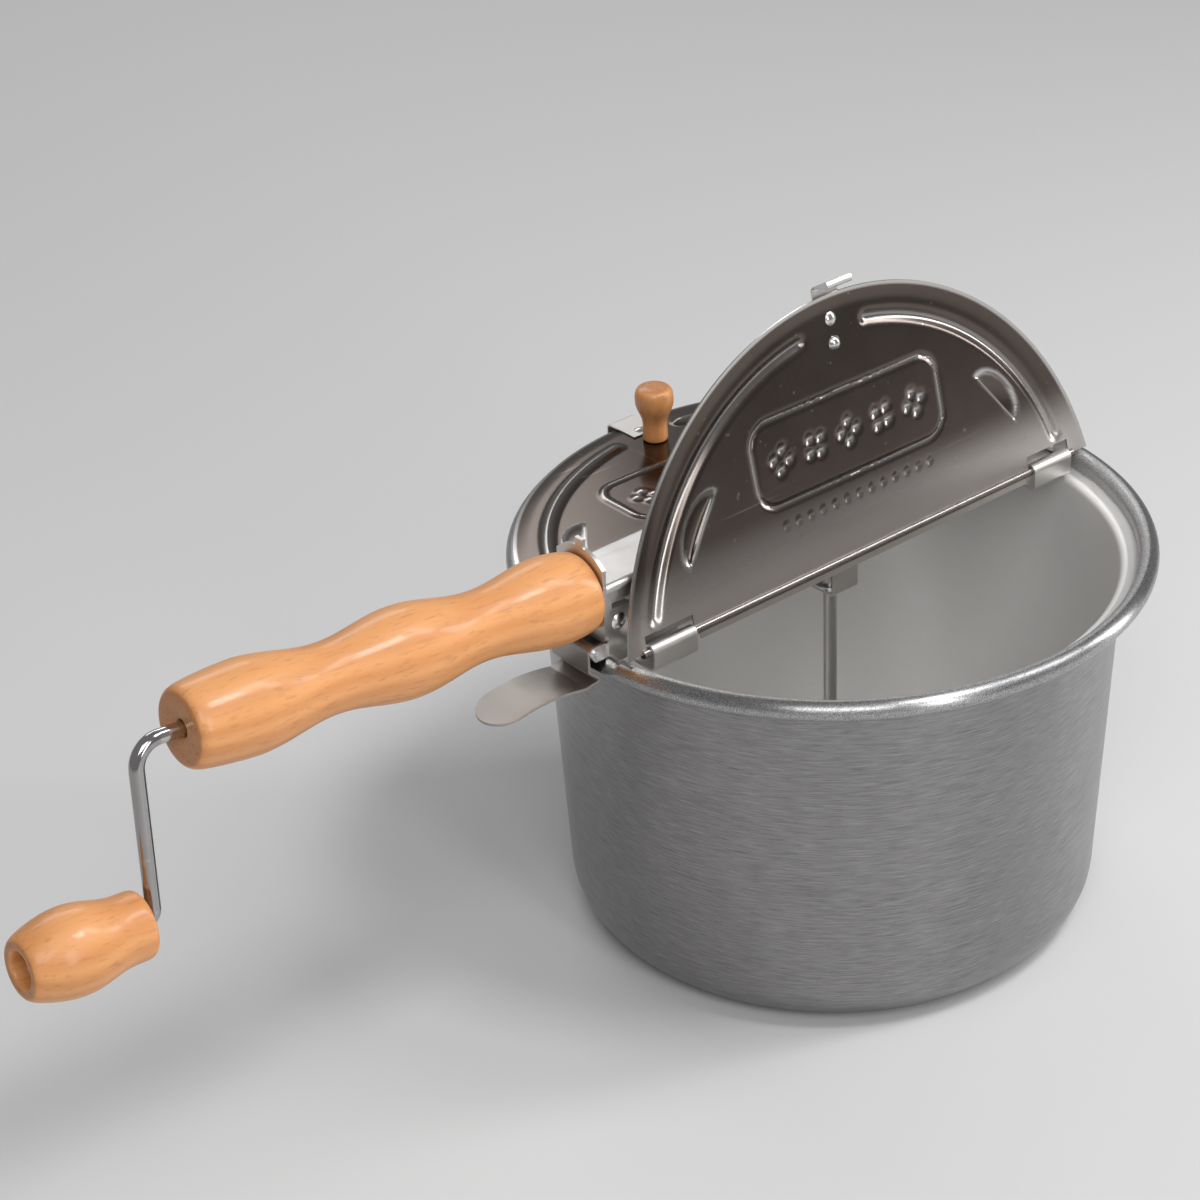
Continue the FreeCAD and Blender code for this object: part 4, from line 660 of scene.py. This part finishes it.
def bead_arc(mesh, start, degrees):
    """Spin one point round the bead's middle, and return the arc's end."""
    arc = bmesh.ops.spin(mesh, geom=[start], cent=(BEAD_MIDDLE, 0, BEAD_HEIGHT), axis=(0, 1, 0),
                         dvec=(0, 0, 0), angle=math.radians(degrees), steps=28)
    return [v for v in arc["geom_last"] if isinstance(v, bmesh.types.BMVert)][0]


mesh = bmesh.new()
roll_start = section_line(mesh, UNDER_FLOOR_TO_BEAD)
roll_end = bead_arc(mesh, roll_start, BEAD_ARC)
lip_start = mesh.verts.new((BEAD_MIDDLE - BEAD_OUTER * math.sin(BEAD_OVERLAP), 0,
                            BEAD_HEIGHT - BEAD_OUTER * math.cos(BEAD_OVERLAP)))
mesh.edges.new((roll_end, lip_start))
lip_end = bead_arc(mesh, lip_start, -BEAD_ARC)
section_line(mesh, BEAD_TO_FLOOR, tied=lip_end)
bmesh.ops.remove_doubles(mesh, verts=mesh.verts[:], dist=0.000001)
print("section points:", len(mesh.verts))
spun(mesh, (0, 0, 1), 256)
pan = mesh_object("spun_pan", mesh)
pan.modifiers.new("corners", "EDGE_SPLIT").split_angle = math.radians(40)
stand_for(pan, pan_metal, "pan_aluminium", "pan", "pan_floor")
print("pan faces:", len(pan.data.polygons))

# %% [markdown]
# A lid is thin tinplate, pressed between two dies. The dies raise two long curved ribs near
# the edge, push two vents up while they slit them along one side, turn the edge down, and
# emboss the middle. Drawing each of those as its own solid would leave hard joints, so the
# sheet is made as a fine fan of faces, and every point is lifted by a height that is worked
# out from the die: how far the point lies from each rib, hood or raised line.

# %% The die of a lid
RIB_RADIUS, RIB_HALF_WIDTH, RIB_HEIGHT = 105.0, 3.4, 1.5
RIB_START, RIB_END = math.radians(9), math.radians(73)
VENT_ANGLE, VENT_PLACE = math.radians(53.5), 91.0
VENT_HALF, VENT_WIDTH, VENT_HEIGHT = 14.0, 8.0, 1.8
FLAT_RADIUS, EDGE_RADIUS, EDGE_DROP = 111.0, 117.5, 0.9
EMBOSS_MIDDLE, FRAME_HALF_WIDE, FRAME_HALF_TALL, FRAME_CORNER = 66, 46, 16, 9
FRAME_LINE, FRAME_HEIGHT = 1.6, 0.7
KERNEL_SPACING, KERNEL_LOBE, KERNEL_HEIGHT = 16.5, 3.6, 0.9
DOT_LINE, DOT_ROW_HALF, DOT_SPACING, DOT_RADIUS, DOT_HEIGHT = 42, 40, 6.0, 2.2, 0.5


def rise(distance, half_width, height):
    """A smooth hump across a rib: its height at a distance from its crest."""
    if distance >= half_width:
        return 0.0
    return height * (0.5 + 0.5 * math.cos(math.pi * distance / half_width))


def vent_place(x, y, side):
    """Where a point lies from a vent: along its slit, and outwards from it."""
    turned = side * VENT_ANGLE
    along = x * math.cos(turned) - y * math.sin(turned)
    outwards = x * math.sin(turned) + y * math.cos(turned) - VENT_PLACE
    return along, outwards


def rib_height(x, y):
    """The two curved ribs, with round ends."""
    around = min(max(abs(math.atan2(x, y)), RIB_START), RIB_END)
    nearest = (math.copysign(math.sin(around), x) * RIB_RADIUS, math.cos(around) * RIB_RADIUS)
    return rise(math.hypot(x - nearest[0], y - nearest[1]), RIB_HALF_WIDTH + 0.4, RIB_HEIGHT)


def vent_height(x, y, raised):
    """The hood of a vent, on its outer side only."""
    best = 0.0
    for side in (-1, 1):
        along, outwards = vent_place(x, y, side)
        inside = 1 - (along / VENT_HALF) ** 2 - (outwards / VENT_WIDTH) ** 2
        if inside > 0 and outwards > -0.01 and raised:
            best = max(best, VENT_HEIGHT * math.sqrt(inside))
    return best


def frame_distance(x, y):
    """How far a point lies from the outline of the rounded frame."""
    dx = abs(x) - (FRAME_HALF_WIDE - FRAME_CORNER)
    dy = abs(y - EMBOSS_MIDDLE) - (FRAME_HALF_TALL - FRAME_CORNER)
    outside = math.hypot(max(dx, 0), max(dy, 0))
    return abs(outside + min(max(dx, dy), 0) - FRAME_CORNER)


def emboss_height(x, y):
    """A plain frame with a row of popped kernels, and a line of dots under it."""
    height = rise(frame_distance(x, y), FRAME_LINE, FRAME_HEIGHT)
    for k in range(-2, 3):
        for lobe in range(4):
            turned = lobe * math.pi / 2 + k * 0.9
            from_lobe = math.hypot(x - KERNEL_SPACING * k - KERNEL_LOBE * math.cos(turned),
                                   y - EMBOSS_MIDDLE - KERNEL_LOBE * math.sin(turned))
            height = max(height, rise(from_lobe, KERNEL_LOBE, KERNEL_HEIGHT))
    if abs(x) < DOT_ROW_HALF:
        from_dot = math.hypot(math.remainder(x, DOT_SPACING), y - DOT_LINE)
        height = max(height, rise(from_dot, DOT_RADIUS, DOT_HEIGHT))
    return height


def sheet_height(x, y, raised):
    """The height of the pressed sheet's middle at a place, in millimetres."""
    outer = (math.hypot(x, y) - FLAT_RADIUS) / (EDGE_RADIUS - FLAT_RADIUS)
    turned_down = EDGE_DROP * min(max(outer, 0), 1) ** 1.5
    return rib_height(x, y) + vent_height(x, y, raised) + emboss_height(x, y) - turned_down


def painted_tin_highlight(x, y):
    """How much painted highlight the tin gets at a place: edge, vent lips, rib crests and raised
    lines.
    """
    painted_highlight = 0.9 * min(max((math.hypot(x, y) - EDGE_RADIUS + 1.6) / 0.8, 0), 1)
    painted_highlight = max(painted_highlight, 0.45 * (rib_height(x, y) / RIB_HEIGHT) ** 2)
    painted_highlight = max(painted_highlight, 0.8 * min(emboss_height(x, y) / FRAME_HEIGHT, 1) ** 3)
    for side in (-1, 1):
        along, outwards = vent_place(x, y, side)
        lip = math.hypot(along / VENT_HALF, outwards / VENT_WIDTH)
        if outwards > -1.0:
            painted_highlight = max(painted_highlight, 1 - abs(lip - 0.97) / 0.16)
        if abs(along) < VENT_HALF:
            painted_highlight = max(painted_highlight, 1 - abs(outwards) / 1.0)
    return painted_highlight


print("die: rib %.1f, vent %.1f, edge %.1f mm" % (RIB_HEIGHT, VENT_HEIGHT, EDGE_DROP))

# %% [markdown]
# The blank is a line from the middle to the edge, swept half a turn. Planes then cut it: the
# straight hinge side, the windows that the bar's hooks reach through, and the slit of each
# vent. At a slit the two sides come apart, so that only the outer side lifts into a hood.

# %% Cut a lid's blank
HINGE_LINE, WINDOW_IN, WINDOW_OUT, WINDOW_TOP = 20.3, 84.5, 106.5, 26.4
BLANK_START, BLANK_RINGS, BLANK_RAYS = 18.0, 118, 280
CUT_MARGIN = 2


def sliced(mesh, chosen, point, normal, **clear):
    """Cut the chosen faces of a bmesh with a plane, and return the edges of the cut."""
    faces = [face for face in mesh.faces if chosen(*face.calc_center_median().to_2d() * MM)]
    geometry = set(faces)
    for face in faces:
        geometry.update(face.edges)
        geometry.update(face.verts)
    cut = bmesh.ops.bisect_plane(mesh, geom=list(geometry), dist=0.000001,
                                 plane_co=Vector(point) / MM, plane_no=normal, **clear)
    return [item for item in cut["geom_cut"] if isinstance(item, bmesh.types.BMEdge)]


def half_blank():
    """A flat half disc of fine faces, cut straight along the hinge."""
    mesh = bmesh.new()
    inner, outer = [mesh.verts.new((at / MM, 0, 0)) for at in (BLANK_START, EDGE_RADIUS)]
    line = mesh.edges.new((inner, outer))
    bmesh.ops.subdivide_edges(mesh, edges=[line], cuts=BLANK_RINGS)
    bmesh.ops.spin(mesh, geom=mesh.verts[:] + mesh.edges[:], cent=(0, 0, 0), axis=(0, 0, 1),
                   dvec=(0, 0, 0), angle=math.pi, steps=BLANK_RAYS)
    sliced(mesh, lambda x, y: True, (0, HINGE_LINE, 0), (0, -1, 0), clear_outer=True)
    return mesh


def cut_window(mesh, side):
    """Cut the window for a hook of the bar, on one side of the blank."""
    def near_window(x, y):
        return (WINDOW_IN - 2 * CUT_MARGIN < side * x < WINDOW_OUT + 2 * CUT_MARGIN
                and y < WINDOW_TOP + 2 * CUT_MARGIN)
    for at in (WINDOW_IN, WINDOW_OUT):
        sliced(mesh, near_window, (side * at, 0, 0), (1, 0, 0))
    sliced(mesh, near_window, (0, WINDOW_TOP, 0), (0, 1, 0))
    waste = []
    for face in mesh.faces:
        x, y = face.calc_center_median().to_2d() * MM
        if WINDOW_IN < side * x < WINDOW_OUT and y < WINDOW_TOP:
            waste.append(face)
    bmesh.ops.delete(mesh, geom=waste, context="FACES")


def cut_slit(mesh, side):
    """Part the blank along a vent's slit."""
    def near_slit(x, y):
        along, outwards = vent_place(x, y, side)
        return abs(along) < VENT_HALF + CUT_MARGIN and abs(outwards) < 3
    slit_way = (math.sin(side * VENT_ANGLE), math.cos(side * VENT_ANGLE), 0)
    slit = sliced(mesh, near_slit, [VENT_PLACE * part for part in slit_way], slit_way)
    opened = [edge for edge in slit if all(
        abs(vent_place(v.co.x * MM, v.co.y * MM, side)[0]) < VENT_HALF - 0.2
        for v in edge.verts)]
    bmesh.ops.split_edges(mesh, edges=opened)


print("blank: %d rings, %d rays" % (BLANK_RINGS, BLANK_RAYS))

# %% [markdown]
# Now the dies close. Every point is lifted to its height and keeps how near the hinge it lies,
# which sets its painted reflection, and how much painted highlight it gets. The sheet gets its
# thickness, and last come the rolled hem along the hinge and the narrow tail behind it.

# %% Press a lid
SHEET_THICKNESS, HEM_RADIUS, HEM_LENGTH, HEM_REACH = 0.0006, 0.00165, 0.217, 0.15
TAIL_PLACE, TAIL_SIZE = (0, 0.0184, 0), (0.165, 0.0038, 0.0006, 1)


def on_hood_side(point):
    """Whether a point belongs to a face on the outer side of a vent's slit."""
    for face in point.link_faces:
        middle = face.calc_center_median() * MM
        for side in (-1, 1):
            along, outwards = vent_place(middle.x, middle.y, side)
            if 0 < outwards < VENT_WIDTH + CUT_MARGIN and abs(along) < VENT_HALF + CUT_MARGIN:
                return True
    return False


def raise_sheet(mesh):
    """Lift the blank into the die's shape, and keep what its finish needs to know."""
    # Each point keeps its reach, which sets the painted reflection, and its painted highlight.
    reach, painted_highlight = [mesh.verts.layers.float.new(label) for label in ("reach", "painted_highlight")]
    for point in mesh.verts:
        x, y = point.co.x * MM, point.co.y * MM
        point[reach], point[painted_highlight] = (y - HINGE_LINE) / EDGE_RADIUS, painted_tin_highlight(x, y)
        point.co.z = sheet_height(x, y, on_hood_side(point)) / MM
    bmesh.ops.recalc_face_normals(mesh, faces=mesh.faces[:])


def add_hinge_edge(mesh):
    """Add the rolled hem along the hinge, and the tail behind it."""
    hem = bmesh.ops.create_circle(mesh, cap_ends=True, radius=HEM_RADIUS, segments=28,
                                  matrix=Matrix.Translation((-HEM_LENGTH / 2, HINGE_LINE / MM, 0))
                                  @ Matrix.Rotation(math.pi / 2, 4, "Y"))
    grown = bmesh.ops.extrude_face_region(mesh, geom=list(hem["verts"][0].link_faces))
    far_end = [v for v in grown["geom"] if isinstance(v, bmesh.types.BMVert)]
    bmesh.ops.translate(mesh, vec=(HEM_LENGTH, 0, 0), verts=far_end)
    # The hem gets a middling reach, so about half of the painted reflection by the hinge.
    reach = mesh.verts.layers.float["reach"]
    for point in hem["verts"] + far_end:
        point[reach] = HEM_REACH
    tail = bmesh.ops.create_cube(mesh, size=1, matrix=Matrix.Translation(TAIL_PLACE)
                                 @ Matrix.Diagonal(TAIL_SIZE))
    bmesh.ops.bevel(mesh, geom=tail["verts"], offset=0.0001, affect="VERTICES", segments=1,
                    profile=0.5, material=-1)


def pressed_lid(name, place):
    """A half lid: sheet, rolled hinge edge and tail, put in its place."""
    mesh = half_blank()
    for side in (-1, 1):
        cut_window(mesh, side)
        cut_slit(mesh, side)
    raise_sheet(mesh)
    sheet = mesh_object(name, mesh)
    thick = sheet.modifiers.new("sheet", "SOLIDIFY")
    thick.thickness, thick.offset = SHEET_THICKNESS, 0
    settled(sheet)
    mesh = bmesh.new()
    mesh.from_mesh(sheet.data)
    add_hinge_edge(mesh)
    bmesh.ops.transform(mesh, matrix=place, verts=mesh.verts[:])
    mesh.to_mesh(sheet.data)
    mesh.free()
    sheet.data.shade_smooth()
    sheet.modifiers.new("corners", "EDGE_SPLIT").split_angle = math.radians(40)
    print(name, "faces:", len(sheet.data.polygons))
    return sheet


for side, lid_place in (("front", FRONT_LID), ("rear", REAR_LID)):
    stand_for(pressed_lid("pressed_%s_lid" % side, lid_place), lid_tin, "lid_steel",
              side + "_lid")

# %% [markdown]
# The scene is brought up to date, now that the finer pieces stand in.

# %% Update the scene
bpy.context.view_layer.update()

# %% [markdown]
# The table top is a plain pale sheet. It is stage, not part of the popper.

# %% Floor
mesh = bmesh.new()
bmesh.ops.create_grid(mesh, x_segments=1, y_segments=1, size=4)
data = bpy.data.meshes.new("table_top")
mesh.to_mesh(data)
mesh.free()
floor = bpy.data.objects.new("table_top", data)
bpy.context.scene.collection.objects.link(floor)
pale, tree, shader = start_finish("table_pale", Roughness=0.6)
shader.inputs["Base Color"].default_value = (0.66, 0.66, 0.66, 1)
floor.data.materials.append(pale)
print("floor ready")
